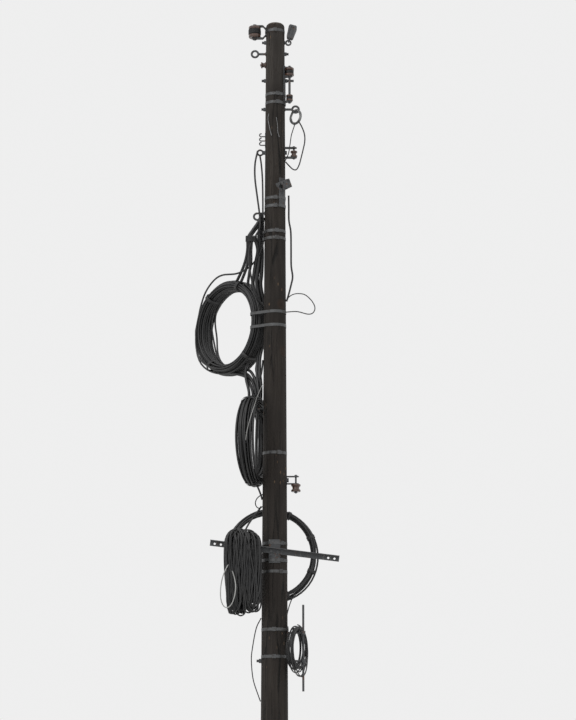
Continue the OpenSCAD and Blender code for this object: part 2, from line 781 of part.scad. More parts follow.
module right_clevis() {
    seat = flat_x(clevis_drop, washer_w, washer_w);
    color(STEEL) around(clevis_drop, 0) {
        clevis(clevis_drop, clevis_gap, -clevis_gap / 2 - plate_t);
        through_bolt(clevis_drop, r_at(clevis_drop));
        translate([-seat - washer_t - eye_nut_thread, 0, 0])
            rotate([0, 90, 0]) cylinder(h = eye_nut_thread + 1, d = bolt_d);
    }
}

module clevis_knob() {
    color(PORCELAIN) around(clevis_drop, 0)
        translate([r_at(clevis_drop) + clevis_reach, 0, -clevis_gap / 2 + small_spool_h / 2 + fit])
            spool(small_spool_d, small_spool_h, clevis_pin_d + 1);
}

// Distance of the eye nut's ring from the pole's axis
eye_nut_x = flat_x(clevis_drop, washer_w, washer_w) + fit + washer_t + eye_nut_body
    + eye_nut_r - eye_nut_bar_r / 2;

// Nut with an eye on the clevis bolt's thread, on its square washer
module eye_nut() {
    seat = flat_x(clevis_drop, washer_w, washer_w) + fit;
    color(STEEL) around(clevis_drop, 180)
        difference() {
            union() {
                square_washer(seat);
                translate([seat + washer_t, 0, 0])
                    rotate([0, 90, 0]) cylinder(h = eye_nut_body, d = nut_d);
                eye(eye_nut_x, eye_nut_r, eye_nut_bar_r);
            }
            translate([seat - 1, 0, 0])
                rotate([0, 90, 0]) cylinder(h = washer_t + eye_nut_thread + 2, d = bolt_d + 2 * fit);
        }
}

// Plate under two straps, with a two-part clamp for a slanting cable
module cable_clamp() {
    plate_drop = clamp_drop + clamp_plate_below;
    bore_x = r_at(clamp_drop) + plate_t + clamp_bore / 2 + 4;
    bolt_off = clamp_bore / 2 + 8;
    color(STEEL) {
        around(plate_drop, clamp_azimuth) wrap(plate_drop, clamp_plate_h, plate_t, clamp_span);
        around(clamp_drop, clamp_azimuth) {
            difference() {
                rotate([jaw_slope, 0, 0]) difference() {
                    translate([r_at(clamp_drop) - 14, -jaw_length / 2, -jaw_w / 2])
                        cube([bore_x - r_at(clamp_drop) + 13, jaw_length, jaw_w]);
                    translate([bore_x, -jaw_length, 0])
                        rotate([-90, 0, 0]) cylinder(h = 2 * jaw_length, d = clamp_bore);
                }
                translate([0, 0, -up(clamp_drop)]) pole_core(fit + plate_t / 2);
            }
            rotate([jaw_slope, 0, 0]) {
                difference() {
                    translate([bore_x + 1, -jaw_length / 2 + 6, -jaw_w / 2])
                        cube([clamp_bore / 2 + jaw_wall, jaw_length - 12, jaw_w]);
                    translate([bore_x, -jaw_length, 0])
                        rotate([-90, 0, 0]) cylinder(h = 2 * jaw_length, d = clamp_bore);
                }
                for (y = [-22, 22])
                    for (z = [-bolt_off, bolt_off])
                        translate([bore_x - 4, y, z]) rotate([0, 90, 0]) {
                            cylinder(h = clamp_bore / 2 + jaw_wall + 10, d = 8);
                            translate([0, 0, clamp_bore / 2 + jaw_wall + 4.5])
                                cylinder(h = 6.5, d = 14, $fn = 6);
                        }
            }
        }
    }
}

module clamp_straps() {
    color(STRAP)
        for (drop = clamp_strap_drops)
            strap(drop, [[clamp_azimuth, clamp_span / 2, plate_t]], -88);
}

// Screw eye bent to an open curl
module pigtail_bolt() {
    seat = flat_x(pigtail_drop, collar_d, collar_d) + fit;
    end_x = r_at(pigtail_drop) + pigtail_reach;
    bar_d = 2 * eye_bar_r;
    color(STEEL) around(pigtail_drop, 180) {
        translate([seat, 0, 0]) rotate([0, 90, 0]) cylinder(h = collar_t, d = collar_d);
        translate([seat, 0, 0]) rotate([0, 90, 0]) cylinder(h = end_x - seat, d = bar_d - 1);
        translate([end_x - 1, 0, -pigtail_r]) rotate([90, 0, 0]) rotate([0, 0, -180])
            rotate_extrude(angle = 270) translate([pigtail_r, 0]) circle(d = bar_d);
    }
}

module guide_straps() {
    color(STRAP)
        for (drop = guide_strap_drops)
            strap(drop, [[180, half_angle(drop, riser_d + 6), riser_d + fit]], -80);
}

module coil_1() {
    color(CABLE) coil(coil_1_centre, coil_1_drop, coil_1_turn, coil_1_r, coil_1_half_t, coil_1_half_w);
}

// Straps that tie the first coil's rim to the pole
module coil_1_straps() {
    rim = coil_1_centre + coil_1_out * sqrt(pow(coil_1_r, 2) - pow(coil_1_strap_offset, 2));
    rim_t = coil_1_half_t / cos(asin(coil_1_strap_offset / coil_1_r)) + coil_1_strap_play;
    rim_w = coil_1_half_w + coil_1_strap_play;
    color(STRAP)
        for (offset = [-coil_1_strap_offset, coil_1_strap_offset])
            translate([0, 0, up(coil_1_drop + offset) - strap_w / 2])
                linear_extrude(strap_w)
                    difference() {
                        hull() {
                            circle(r = r_at(coil_1_drop + offset) + fit + strap_t + 0.1);
                            translate(rim) rotate(coil_1_turn) bundle_outline(rim_t + strap_t, rim_w + strap_t);
                        }
                        hull() {
                            circle(r = r_at(coil_1_drop + offset) + fit + 0.1);
                            translate(rim) rotate(coil_1_turn) bundle_outline(rim_t, rim_w);
                        }
                    }
}

module coil_2_hook() {
    end_x = norm(coil_2_centre) + coil_2_half_w / sin(coil_2_turn) + hook_bar_d / 2 + 5;
    color(STEEL) around(coil_2_hook_drop, coil_2_azimuth) coil_hook(coil_2_hook_drop, end_x);
}

module coil_2() {
    color(CABLE) coil(coil_2_centre, coil_2_drop, coil_2_turn, coil_2_r, coil_2_half_t, coil_2_half_w);
}

module coil_strap() {
    color(STRAP) strap(coil_strap_drop, [], -70);
}

module low_clevis() {
    low = -low_clevis_gap / 2 - plate_t - low_knob_h - 2 * fit;
    seat = flat_x(low_clevis_drop, plate_w, low_clevis_gap + 2 * plate_t) + fit;
    color(STEEL) around(low_clevis_drop, 0) {
        clevis(low_clevis_drop, low_clevis_gap, low);
        translate([seat - low_screw_l, 0, 0]) rotate([0, 90, 0]) cylinder(h = low_screw_l + 1, d = bolt_d);
    }
}

module low_clevis_knob() {
    color(PORCELAIN) around(low_clevis_drop, 0)
        translate([
            r_at(low_clevis_drop) + clevis_reach, 0,
            -low_clevis_gap / 2 - plate_t - low_knob_h / 2 - fit,
        ])
            spool(low_knob_d, low_knob_h, clevis_pin_d + 1);
}

// Block with a flat face on the pole's front, with tongues for the straps
module arm_pad() {
    color(STEEL) around(arm_drop, -90) {
        wrap(arm_drop, pad_h, pad_tongue_t, pad_span);
        difference() {
            translate([r_at(arm_drop) - 30, -pad_w / 2, -pad_block_h / 2])
                cube([arm_face - r_at(arm_drop) + 30, pad_w, pad_block_h]);
            translate([0, 0, -up(arm_drop)]) pole_core(fit + pad_tongue_t / 2);
        }
    }
}

module cable_arm() {
    hole_places = [for (side = [-1, 1]) for (k = [0, 1])
        side * (arm_length / 2 - arm_hole_inset - k * arm_hole_pitch)];
    color(STEEL) around(arm_drop, -90)
        translate([arm_face + fit, 0, 0]) rotate([-arm_slope, 0, 0]) {
            difference() {
                translate([0, -arm_length / 2, -arm_leg / 2]) cube([arm_t, arm_length, arm_leg]);
                for (y = hole_places)
                    translate([-1, y, -arm_t / 2])
                        rotate([0, 90, 0]) cylinder(h = arm_t + 2, d = arm_hole_d);
            }
            translate([0, -arm_length / 2, arm_leg / 2 - arm_t]) cube([arm_leg, arm_length, arm_t]);
            for (y = [-22, 22])
                translate([arm_t, y, -arm_t / 2])
                    rotate([0, 90, 0]) cylinder(h = arm_bolt_d * 0.6, d = arm_bolt_d * 1.8, $fn = 6);
        }
}

module arm_straps() {
    color(STRAP) {
        for (drop = arm_strap_drops)
            strap(drop, [[-90, pad_span / 2, pad_tongue_t]], -55);
        strap(skein_strap_drop, [], -60);
    }
}

module ring_hooks() {
    end_x = norm(ring_centre) + ring_bundle_r + hook_bar_d / 2 + 3;
    color(STEEL)
        for (side = [-1, 1])
            around(ring_drop + side * ring_hook_inset, ring_azimuth)
                coil_hook(ring_drop + side * ring_hook_inset, end_x, -side);
}

module ring_coil() {
    color(CABLE) coil(ring_centre, ring_drop, 0, ring_r, ring_bundle_r, ring_bundle_r);
}

// Top of the arm above the place x
function arm_top(x) = up(arm_drop) - x * tan(arm_slope) + arm_leg / 2 / cos(arm_slope);

// Upright loop outline in the YZ plane
module loop_outline(half, low, high) {
    translate([-half, low + half]) square([2 * half, high - low - 2 * half]);
    translate([0, low + half]) circle(r = half);
    translate([0, high - half]) circle(r = half);
}

// Skein of drop wire hung over the arm
module skein(place) {
    half = skein_slot / 2;
    slot_top = half - sqrt(pow(half, 2) - pow(arm_leg / 2, 2)) + fit;
    top = arm_top(place[0]) + skein_head;
    low = up(arm_drop + place[2]);
    color(CABLE) difference() {
        translate([place[0] - place[1] / 2, skein_y, 0])
            rotate([90, 0, 90]) linear_extrude(place[1]) loop_outline(skein_slot / 2 + skein_side, low, top);
        translate([place[0], skein_y, arm_top(place[0])])
            rotate([0, arm_slope, 0])
                translate([-place[1], 0, 0])
                    rotate([90, 0, 90])
                        linear_extrude(2 * place[1])
                            loop_outline(half, low - arm_top(place[0]) + skein_head, slot_top);
    }
}

module skein_1() {
    skein(skeins[0]);
}

module skein_2() {
    skein(skeins[1]);
}

// Two arms that hold the rod off the pole
module rod_bracket() {
    foot_drops = [rod_upper_drop - 8, rod_lower_drop - 10];
    arm_drops = [rod_upper_drop, rod_lower_drop];
    color(STEEL) {
        for (i = [0, 1])
            difference() {
                union() {
                    around(foot_drops[i], 0) wrap(foot_drops[i], rod_foot_h, plate_t, rod_foot_span);
                    around(arm_drops[i], 0) {
                        translate([r_at(arm_drops[i]) + plate_t / 2, 0, 0])
                            rotate([0, 90, 0])
                                cylinder(h = rod_x - r_at(arm_drops[i]) - plate_t / 2, d = rod_arm_d);
                        translate([rod_x, 0, -rod_collar_h / 2])
                            cylinder(h = rod_collar_h, d = rod_collar_d);
                    }
                }
                around(arm_drops[i], 0)
                    translate([rod_x, 0, -rod_collar_h])
                        cylinder(h = 2 * rod_collar_h, d = rod_d + 2 * fit);
            }
        around(rod_lower_drop, 0) {
            through_bolt(rod_lower_drop, r_at(rod_lower_drop) + plate_t / 2, small_washer_w);
            bolt_far_end(rod_lower_drop, bolt_tail, small_washer_w);
        }
    }
}

module standoff_rod() {
    color(STEEL)
        translate([rod_x, 0, up(rod_upper_drop - rod_head + rod_length)])
            cylinder(h = rod_length, d = rod_d);
}

module rod_straps() {
    color(STRAP)
        for (drop = rod_strap_drops)
            strap(drop, [[0, rod_foot_span / 2, plate_t]], -92);
}

module small_coil() {
    color(CABLE)
        coil(
            small_coil_centre, small_coil_drop, small_coil_turn, small_coil_r, small_bundle_r,
            small_bundle_r);
}

module riser_left() {
    color(CABLE) tube(riser_left_route, riser_d);
}

module coil_lead() {
    color(CABLE) tube(coil_lead_route, riser_d);
}

module riser_right() {
    color(CABLE) tube(riser_right_route, riser_d);
}

module jumper_loop() {
    color(CABLE) tube(jumper_loop_route, jumper_d);
}

module jumper_wire() {
    color(CABLE) tube(jumper_wire_route, wire_d);
}

module side_loop() {
    color(CABLE) tube(side_loop_route, wire_d);
}

module foot_wire() {
    color(CABLE) tube(foot_wire_route, wire_d);
}

pole_shaft();
top_strap();
left_iron();
left_spool();
anchor_eye();
anchor_clamp();
left_eye_bolt();
side_knob();
rack_frame();
rack_bolt();
rack_upper_spool();
rack_lower_spool();
rack_straps();
ring_eye();
wire_ring();
hook_plate();
right_clevis();
clevis_knob();
eye_nut();
cable_clamp();
clamp_straps();
pigtail_bolt();
guide_straps();
coil_1();
coil_1_straps();
coil_2_hook();
coil_2();
coil_strap();
low_clevis();
low_clevis_knob();
arm_pad();
cable_arm();
arm_straps();
ring_hooks();
ring_coil();
skein_1();
skein_2();
rod_bracket();
standoff_rod();
rod_straps();
small_coil();
riser_left();
coil_lead();
riser_right();
jumper_loop();
jumper_wire();
side_loop();
foot_wire();
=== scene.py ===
import math
import random

import bpy
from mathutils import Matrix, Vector, noise


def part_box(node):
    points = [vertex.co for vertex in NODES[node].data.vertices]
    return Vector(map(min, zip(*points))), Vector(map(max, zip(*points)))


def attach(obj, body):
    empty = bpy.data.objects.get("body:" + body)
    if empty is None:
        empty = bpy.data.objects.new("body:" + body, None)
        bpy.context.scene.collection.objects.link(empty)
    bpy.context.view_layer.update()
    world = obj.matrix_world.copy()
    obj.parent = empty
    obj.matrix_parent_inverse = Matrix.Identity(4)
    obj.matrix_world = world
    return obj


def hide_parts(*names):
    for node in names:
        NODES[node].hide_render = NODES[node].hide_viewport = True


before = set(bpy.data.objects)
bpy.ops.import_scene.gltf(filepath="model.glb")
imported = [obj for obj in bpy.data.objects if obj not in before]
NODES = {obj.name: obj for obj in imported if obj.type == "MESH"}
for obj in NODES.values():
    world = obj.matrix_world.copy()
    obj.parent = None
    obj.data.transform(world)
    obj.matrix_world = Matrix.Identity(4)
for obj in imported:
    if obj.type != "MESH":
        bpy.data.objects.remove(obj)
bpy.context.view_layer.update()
noise.seed_set(4)

bl_info = {
    "name": "Wooden pole dressing",
    "version": (1, 0, 0),
    "blender": (4, 5, 0),
    "location": "View3D > Sidebar > Pole",
    "description": "Finishes a wooden pole's timber, irons, straps and spools and winds its cables",
    "category": "Object",
}

TAU = 2 * math.pi
POLE_TOP = 6.7
POLE_FOOT_D = 0.195
POLE_TAPER = 0.0106
SEAT_GAP = 0.0003
COIL_PITCH = 0.0134
TURN_POINTS = 20


# Sizes and colours


def length(name, description, default):
    """Property for a length in metres."""
    return bpy.props.FloatProperty(name=name, description=description, default=default, unit="LENGTH")


def colour(name, description, *default):
    """Property for an opaque colour."""
    return bpy.props.FloatVectorProperty(
        name=name, description=description, default=(*default, 1), size=4, subtype="COLOR")


class PoleCables(bpy.types.PropertyGroup):
    """Diameters of the cables and wires"""

    cable_d: length("Cable", "Diameter of the coiled cable", 0.012)
    strand_d: length("Strand", "Diameter of the strands that join the coils", 0.02)
    jumper_d: length("Jumper", "Diameter of the jumper loop", 0.009)
    wire_d: length("Drop wire", "Diameter of the drop wires", 0.007)
    skein_d: length("Skein wire", "Diameter of the wire in the skeins", 0.01)
    small_d: length("Small coil wire", "Diameter of the wire in the small coil", 0.008)
    tie_wire_d: length("Tie wire", "Diameter of the tie wires", 0.004)
    points_each_turn: bpy.props.IntProperty(
        name="Points each turn", description="Points of a path in each turn", default=56, min=12)


class PoleFinishes(bpy.types.PropertyGroup):
    """Colours of the finishes"""

    timber_dark: colour(
        "Timber, dark", "Creosoted timber in its dark streaks", 0.0145, 0.0114, 0.0095)
    timber_light: colour(
        "Timber, light", "Timber where its face has dried and bleached", 0.047, 0.039, 0.0325)
    zinc: colour("Zinc", "Weathered galvanised iron", 0.085, 0.0875, 0.091)
    rust: colour("Rust", "Rust where the zinc is gone", 0.11, 0.042, 0.018)
    band: colour("Band", "Steel of the straps", 0.105, 0.1065, 0.1085)
    glaze: colour("Glaze", "Brown glaze of the spools", 0.085, 0.045, 0.03)
    sheath: colour("Sheath", "Black sheath of the cables", 0.014, 0.014, 0.015)
    chalk: colour("Chalk", "Sheath where the sun has chalked it", 0.042, 0.0415, 0.0405)
    pale: colour("Pale sheath", "Grey sheath of the loose loop of drop wire", 0.42, 0.42, 0.405)


class PoleStudio(bpy.types.PropertyGroup):
    """Light and camera"""

    sky: bpy.props.FloatProperty(
        name="Background", description="How light the background looks", default=0.86, min=0, max=1)
    fill: bpy.props.FloatProperty(
        name="Fill light", description="Strength of the light from all round", default=0.72, min=0)
    key: bpy.props.FloatProperty(
        name="Key light", description="Strength of the soft lamp", default=0.9, min=0)
    camera_away: length("Camera distance", "Distance of the camera from the pole", 14)
    camera_up: length("Camera height", "Height of the camera", 1.6)


# Node trees


class Value:
    """A number, colour or vector in a node tree. Arithmetic on a number adds Math nodes."""

    def __init__(self, tree, socket):
        self.tree = tree
        self.socket = socket

    def __add__(self, other):
        return self.tree.maths("ADD", self, other)

    def __sub__(self, other):
        return self.tree.maths("SUBTRACT", self, other)

    def __rsub__(self, other):
        return self.tree.maths("SUBTRACT", other, self)

    def __mul__(self, other):
        return self.tree.maths("MULTIPLY", self, other)

    def __truediv__(self, other):
        return self.tree.maths("DIVIDE", self, other)

    def __pow__(self, other):
        return self.tree.maths("POWER", self, other)

    __radd__ = __add__
    __rmul__ = __mul__

    def sine(self):
        return self.tree.maths("SINE", self)

    def most(self, other):
        return self.tree.maths("MAXIMUM", self, other)

    def rise(self, low, high):
        """0 below low, 1 above high, smooth between. It falls instead where low is above high."""
        if low > high:
            return 1 - self.rise(high, low)
        return self.tree.add(
            "ShaderNodeMapRange", {"interpolation_type": "SMOOTHSTEP"},
            {"Value": self, "From Min": low, "From Max": high})


class Tree:
    """Adds nodes to one node tree."""

    def __init__(self, tree):
        self.tree = tree
        tree.nodes.clear()

    def add(self, kind, settings=None, inputs=None, out=0):
        """Adds a node: its settings first, then its sockets. Gives its chosen output."""
        node = self.tree.nodes.new(kind)
        for name, value in (settings or {}).items():
            setattr(node, name, value)
        for name, value in (inputs or {}).items():
            if isinstance(value, Value):
                self.tree.links.new(value.socket, node.inputs[name])
            else:
                node.inputs[name].default_value = value
        return Value(self, node.outputs[out]) if node.outputs else node

    def maths(self, operation, *numbers):
        return self.add("ShaderNodeMath", {"operation": operation}, dict(enumerate(numbers)))

    def split(self, vector):
        node = self.add("ShaderNodeSeparateXYZ", None, {0: vector}).socket.node
        return [Value(self, socket) for socket in node.outputs]

    def vector(self, x, y, z):
        return self.add("ShaderNodeCombineXYZ", None, {0: x, 1: y, 2: z})

    def noise(self, place, scale, detail=3.0, roughness=0.5):
        return self.add(
            "ShaderNodeTexNoise", None,
            {"Vector": place, "Scale": scale, "Detail": detail, "Roughness": roughness})

    def cells(self, place, scale, feature="F1"):
        return self.add(
            "ShaderNodeTexVoronoi", {"feature": feature}, {"Vector": place, "Scale": scale},
            out="Distance")

    def mix(self, amount, first, second):
        return self.add("ShaderNodeMix", {"data_type": "RGBA"}, {0: amount, 6: first, 7: second}, out=2)

    def bump(self, height, distance, strength=1.0, under=None):
        inputs = {"Height": height, "Distance": distance, "Strength": strength}
        if under is not None:
            inputs["Normal"] = under
        return self.add("ShaderNodeBump", None, inputs)

    def place(self):
        """The point of the surface on its object."""
        return self.add("ShaderNodeTexCoord", out="Object")

    def upward(self):
        """1 on faces that look up, 0 on faces that look down or sideways."""
        normal = self.add("ShaderNodeNewGeometry", out="Normal")
        return self.split(normal)[2].rise(0.25, 0.95)


def timber_finish(tree, colours):
    """Creosoted round timber: grain, long checks darkened with painted shade, knots, climbers' marks
    and ringed end grain.
    """
    place = tree.place()
    x, y, z = tree.split(place)
    wobble = tree.noise(tree.vector(x, y, z * 0.6), 4.5, 2.0) - 0.5
    knot_away = tree.cells(place, 2.9)
    knot = knot_away.rise(0.085, 0.05)
    knot_rim = knot_away.rise(0.14, 0.07)
    bent_x = x + wobble * 0.03 + knot_rim * 0.012
    grain = tree.noise(tree.vector(bent_x, y, z * 0.025), 300.0, 5.0, 0.62)
    streak = tree.noise(tree.vector(bent_x, y, z * 0.05), 42.0, 4.0, 0.6)
    patch = tree.noise(tree.vector(x, y, z * 0.4), 7.0, 3.0)
    check_at = tree.vector(bent_x, y + wobble * 0.03, z * 0.04)
    check_open = tree.noise(tree.vector(x, y, z * 0.16), 13.0, 2.0).rise(0.44, 0.6)
    # Checks are cracks that are only bumped; the near-black colour they get below is painted shade in
    # the crack.
    shaded_check = tree.cells(check_at, 24.0, "DISTANCE_TO_EDGE").rise(0.05, 0.008) * check_open
    shaded_fine_check = tree.cells(check_at, 95.0, "DISTANCE_TO_EDGE").rise(0.1, 0.01) * patch.rise(0.35, 0.62)
    gaff_near = tree.noise(place, 3.3, 2.0).rise(0.5, 0.64)
    gaff = tree.cells(tree.vector(x, y, z * 0.42), 34.0).rise(0.2, 0.1) * gaff_near
    radius = (x * x + y * y) ** 0.5
    end_grain = z.rise(POLE_TOP - 0.02, POLE_TOP - 0.004)
    ring_pitch = 0.0042
    ring = ((radius + wobble * 0.004) * (TAU / ring_pitch)).sine() * 0.5 + 0.5
    weathered = z.rise(5.4, 6.65) * patch.rise(0.3, 0.6) * 0.25
    splashed = z.rise(0.32, 0.02) * (0.35 + patch * 0.6)

    bleach = (streak.rise(0.3, 0.75) * 0.75 + grain * 0.35) * patch.rise(0.2, 0.8)
    tone = tree.mix(bleach, colours.timber_dark, colours.timber_light)
    tone = tree.mix(weathered, tone, (0.105, 0.096, 0.087, 1))
    tone = tree.mix(knot_rim * 0.6, tone, (0.034, 0.02, 0.013, 1))
    tone = tree.mix(knot * ring, tone, (0.016, 0.01, 0.007, 1))
    tone = tree.mix(gaff * 0.75, tone, (0.15, 0.098, 0.06, 1))
    tone = tree.mix(end_grain * (0.45 + ring * 0.4), tone, (0.19, 0.155, 0.12, 1))
    # Painted shade: fine checks and long checks are darkened as if shade fell down into the cracks.
    tone = tree.mix(shaded_fine_check * 0.55, tone, (0.018, 0.013, 0.01, 1))
    tone = tree.mix(shaded_check, tone, (0.006, 0.005, 0.004, 1))
    tone = tree.mix(splashed, tone, (0.16, 0.13, 0.1, 1))
    face = grain * 0.16 + streak * 0.3 - shaded_fine_check * 0.35 - gaff * 0.9 + knot * 0.5
    face = face + ring * end_grain * 0.12
    under = tree.bump(face, 0.004, 0.9)
    return {
        "Base Color": tone, "Roughness": 0.94 - streak * 0.16, "Specular IOR Level": 0.35,
        "Normal": tree.bump(1 - shaded_check, 0.012, 1.0, under),
    }


def zinc_finish(tree, colours):
    """Weathered galvanised iron, with dull spangle, white bloom and rust."""
    place = tree.place()
    x, y, z = tree.split(place)
    spangle = tree.cells(place, 260.0)
    cloud = tree.noise(place, 46.0, 4.0, 0.6)
    pit = tree.noise(place, 620.0, 3.0, 0.6)
    run = tree.noise(tree.vector(x, y, z * 0.16), 70.0, 4.0, 0.65)
    rust = (cloud * 0.6 + run * 0.55).rise(0.62, 0.72)
    bloom = run.rise(0.52, 0.7) * 0.5
    tone = tree.mix(spangle.rise(0.1, 0.9) * 0.5, colours.zinc, (0.085, 0.088, 0.092, 1))
    tone = tree.mix(bloom, tone, (0.27, 0.275, 0.275, 1))
    tone = tree.mix(rust * (0.5 + pit * 0.5), tone, colours.rust)
    return {
        "Base Color": tone, "Metallic": (1 - rust) * 0.35, "Roughness": 0.6 + cloud * 0.22 + rust * 0.1,
        "Normal": tree.bump(pit * 0.5 + rust * pit * 1.4 + spangle * 0.12, 0.0009, 0.7),
    }


def band_finish(tree, colours):
    """Stainless band: brushed round the pole, scratched, with patches of grime."""
    place = tree.place()
    x, y, z = tree.split(place)
    brush = tree.noise(tree.vector(x * 0.08, y * 0.08, z), 900.0, 3.0, 0.6)
    grime = tree.noise(place, 34.0, 4.0, 0.6)
    scratch = tree.noise(tree.vector(x, y, z * 3.0), 160.0, 3.0, 0.7).rise(0.62, 0.7)
    dull = grime.rise(0.46, 0.68)
    tone = tree.mix(dull * 0.8, colours.band, (0.06, 0.056, 0.052, 1))
    tone = tree.mix(scratch * 0.5, tone, (0.36, 0.365, 0.37, 1))
    return {
        "Base Color": tone, "Metallic": 0.8 - dull * 0.4, "Roughness": 0.36 + dull * 0.3 + brush * 0.1,
        "Normal": tree.bump(brush - scratch * 0.5, 0.0003, 0.5),
    }


def glaze_finish(tree, colours):
    """Brown glazed porcelain, darker where the glaze pools, with dust on its upper faces."""
    place = tree.place()
    pool = tree.noise(place, 38.0, 3.0, 0.55)
    speck = tree.noise(place, 420.0, 2.0).rise(0.66, 0.72)
    dust = tree.upward() * tree.noise(place, 90.0, 4.0, 0.6).rise(0.3, 0.62)
    tone = tree.mix(pool.rise(0.35, 0.65), colours.glaze, (0.04, 0.018, 0.011, 1))
    tone = tree.mix(speck * 0.4, tone, (0.15, 0.085, 0.05, 1))
    tone = tree.mix(dust * 0.6, tone, (0.2, 0.19, 0.175, 1))
    return {
        "Base Color": tone, "Roughness": 0.16 + dust * 0.55 + pool * 0.08,
        "Coat Weight": 0.6 - dust * 0.5, "Coat Roughness": 0.06,
        "Normal": tree.bump(pool + speck * 0.4, 0.0012, 0.4),
    }


def sheath_finish(tree, colours, dusty=0.5, base=None):
    """Plastic sheath, black unless a base is given, chalked and dusty above, and scuffed."""
    place = tree.place()
    cloud = tree.noise(place, 9.0, 4.0, 0.6)
    grit = tree.noise(place, 480.0, 3.0, 0.6)
    scuff = tree.noise(place, 140.0, 4.0, 0.7).rise(0.6, 0.7)
    chalk = tree.upward() * cloud.rise(0.3, 0.66) * dusty + grit.rise(0.45, 0.75) * dusty * 0.25
    tone = tree.mix(cloud.rise(0.35, 0.7) * 0.35, base or colours.sheath, (0.038, 0.037, 0.036, 1))
    tone = tree.mix(chalk, tone, colours.chalk)
    tone = tree.mix(scuff * 0.45, tone, (0.09, 0.09, 0.09, 1))
    return {
        "Base Color": tone, "Roughness": 0.42 + chalk * 0.4 + scuff * 0.15,
        "Normal": tree.bump(grit + scuff * 0.7, 0.0004, 0.5),
    }


def tape_finish(tree, _):
    """Black tape wound on a bundle, wrinkled and dusty."""
    place = tree.place()
    wrinkle = tree.noise(place, 160.0, 4.0, 0.65)
    dust = tree.noise(place, 60.0, 3.0).rise(0.5, 0.7)
    return {
        "Base Color": tree.mix(dust * 0.5, (0.018, 0.018, 0.019, 1), (0.085, 0.08, 0.075, 1)),
        "Roughness": 0.38 + wrinkle * 0.3, "Normal": tree.bump(wrinkle, 0.0012, 0.7),
    }


def tie_wire_finish(tree, _):
    """Soft galvanised tie wire, bright where it has been rubbed."""
    place = tree.place()
    rub = tree.noise(place, 210.0, 4.0, 0.6)
    return {
        "Base Color": tree.mix(rub.rise(0.4, 0.65), (0.3, 0.305, 0.31, 1), (0.15, 0.148, 0.145, 1)),
        "Metallic": 0.6, "Roughness": 0.35 + rub * 0.3, "Normal": tree.bump(rub, 0.0003, 0.5),
    }


FINISH_RULES = {
    "timber": timber_finish, "zinc": zinc_finish, "band": band_finish, "glaze": glaze_finish,
    "sheath": sheath_finish, "tape": tape_finish, "tie_wire": tie_wire_finish,
    "old_sheath": lambda tree, colours: sheath_finish(tree, colours, 0.9),
    "pale_sheath": lambda tree, colours: sheath_finish(tree, colours, 0.4, colours.pale),
    "pale_floor": lambda tree, _: {"Base Color": (0.74, 0.74, 0.73, 1), "Roughness": 0.9},
}
FINISHES = {}


def finish_of(name):
    """The material of that name, made once."""
    if name not in FINISHES:
        material = bpy.data.materials.new(name)
        material.use_nodes = True
        tree = Tree(material.node_tree)
        sockets = FINISH_RULES[name](tree, bpy.context.scene.pole_finishes)
        shader = tree.add("ShaderNodeBsdfPrincipled", None, sockets)
        tree.add("ShaderNodeOutputMaterial", None, {"Surface": shader})
        FINISHES[name] = material
    return FINISHES[name]


def dress(names, finish):
    """Gives CAD nodes, whose shape is right, their material."""
    for name in names:
        for slot in NODES[name].material_slots:
            slot.material = finish_of(finish)


# Paths


def at(x, y, drop):
    """A point from millimetres, with its height as a drop below the pole's top."""
    return Vector((x / 1000, y / 1000, POLE_TOP - drop / 1000))


def route(*points):
    return [at(*point) for point in points]


def pole_radius(height):
    return (POLE_FOOT_D - POLE_TAPER * height) / 2


def smooth_path(points, steps=8):
    """Smooth curve through the points, with its ends mirrored."""
    first = 2 * points[0] - points[1]
    last = 2 * points[-1] - points[-2]
    line = [first, *points, last]
    path = []
    for a, b, c, d in zip(line, line[1:], line[2:], line[3:]):
        for k in range(steps):
            t = k / steps
            path.append(0.5 * (
                2 * b + (c - a) * t + (2 * a - 5 * b + 4 * c - d) * t * t
                + (3 * b - a - 3 * c + d) * t * t * t))
    return path + [points[-1]]


def ease(t):
    """0 below 0, 1 above 1, smooth between."""
    t = min(max(t, 0), 1)
    return t * t * (3 - 2 * t)


def length_of(path):
    return sum((b - a).length for a, b in zip(path, path[1:]))


class Bundle:
    """Upright coil: centre, turn about Z, mean radius, and its section's half thickness and width."""

    def __init__(self, centre, turn, radius, half_t, half_w):
        turn = math.radians(turn)
        self.centre = Vector(centre)
        self.out = Vector((math.cos(turn), math.sin(turn), 0))
        self.axis = Vector((-math.sin(turn), math.cos(turn), 0))
        self.radius = radius
        self.half_t = half_t
        self.half_w = half_w

    def point(self, angle, out, along):
        """A point at an angle of the coil in radians, out from its mean radius and along its axis."""
        reach = self.radius + out
        return (
            self.centre + self.out * (reach * math.cos(angle)) + self.axis * along
            + Vector((0, 0, reach * math.sin(angle))))

    def points(self, angles, out, along):
        """The same for several angles, in degrees."""
        return [self.point(math.radians(angle), out, along) for angle in angles]

    def spots(self, d, pitch, order=None):
        """Places of the turns in the bundle's section, row by row, each row run the other way."""
        row_pitch = pitch * 0.866
        rows = []
        reach = self.half_t - d / 2
        count = max(2, int(2 * reach / row_pitch) + 1)
        for row in range(count):
            out = reach - 2 * reach * row / (count - 1)
            end = self.half_w - self.half_t + math.sqrt(max(reach * reach - out * out, 0))
            number = int(2 * end / pitch) + 1
            rows.append([(out, end * (1 - 2 * k / max(number - 1, 1))) for k in range(number)])
        places = []
        for number, row in enumerate(order or range(count)):
            places += rows[row][::-1] if number % 2 else rows[row]
        return places


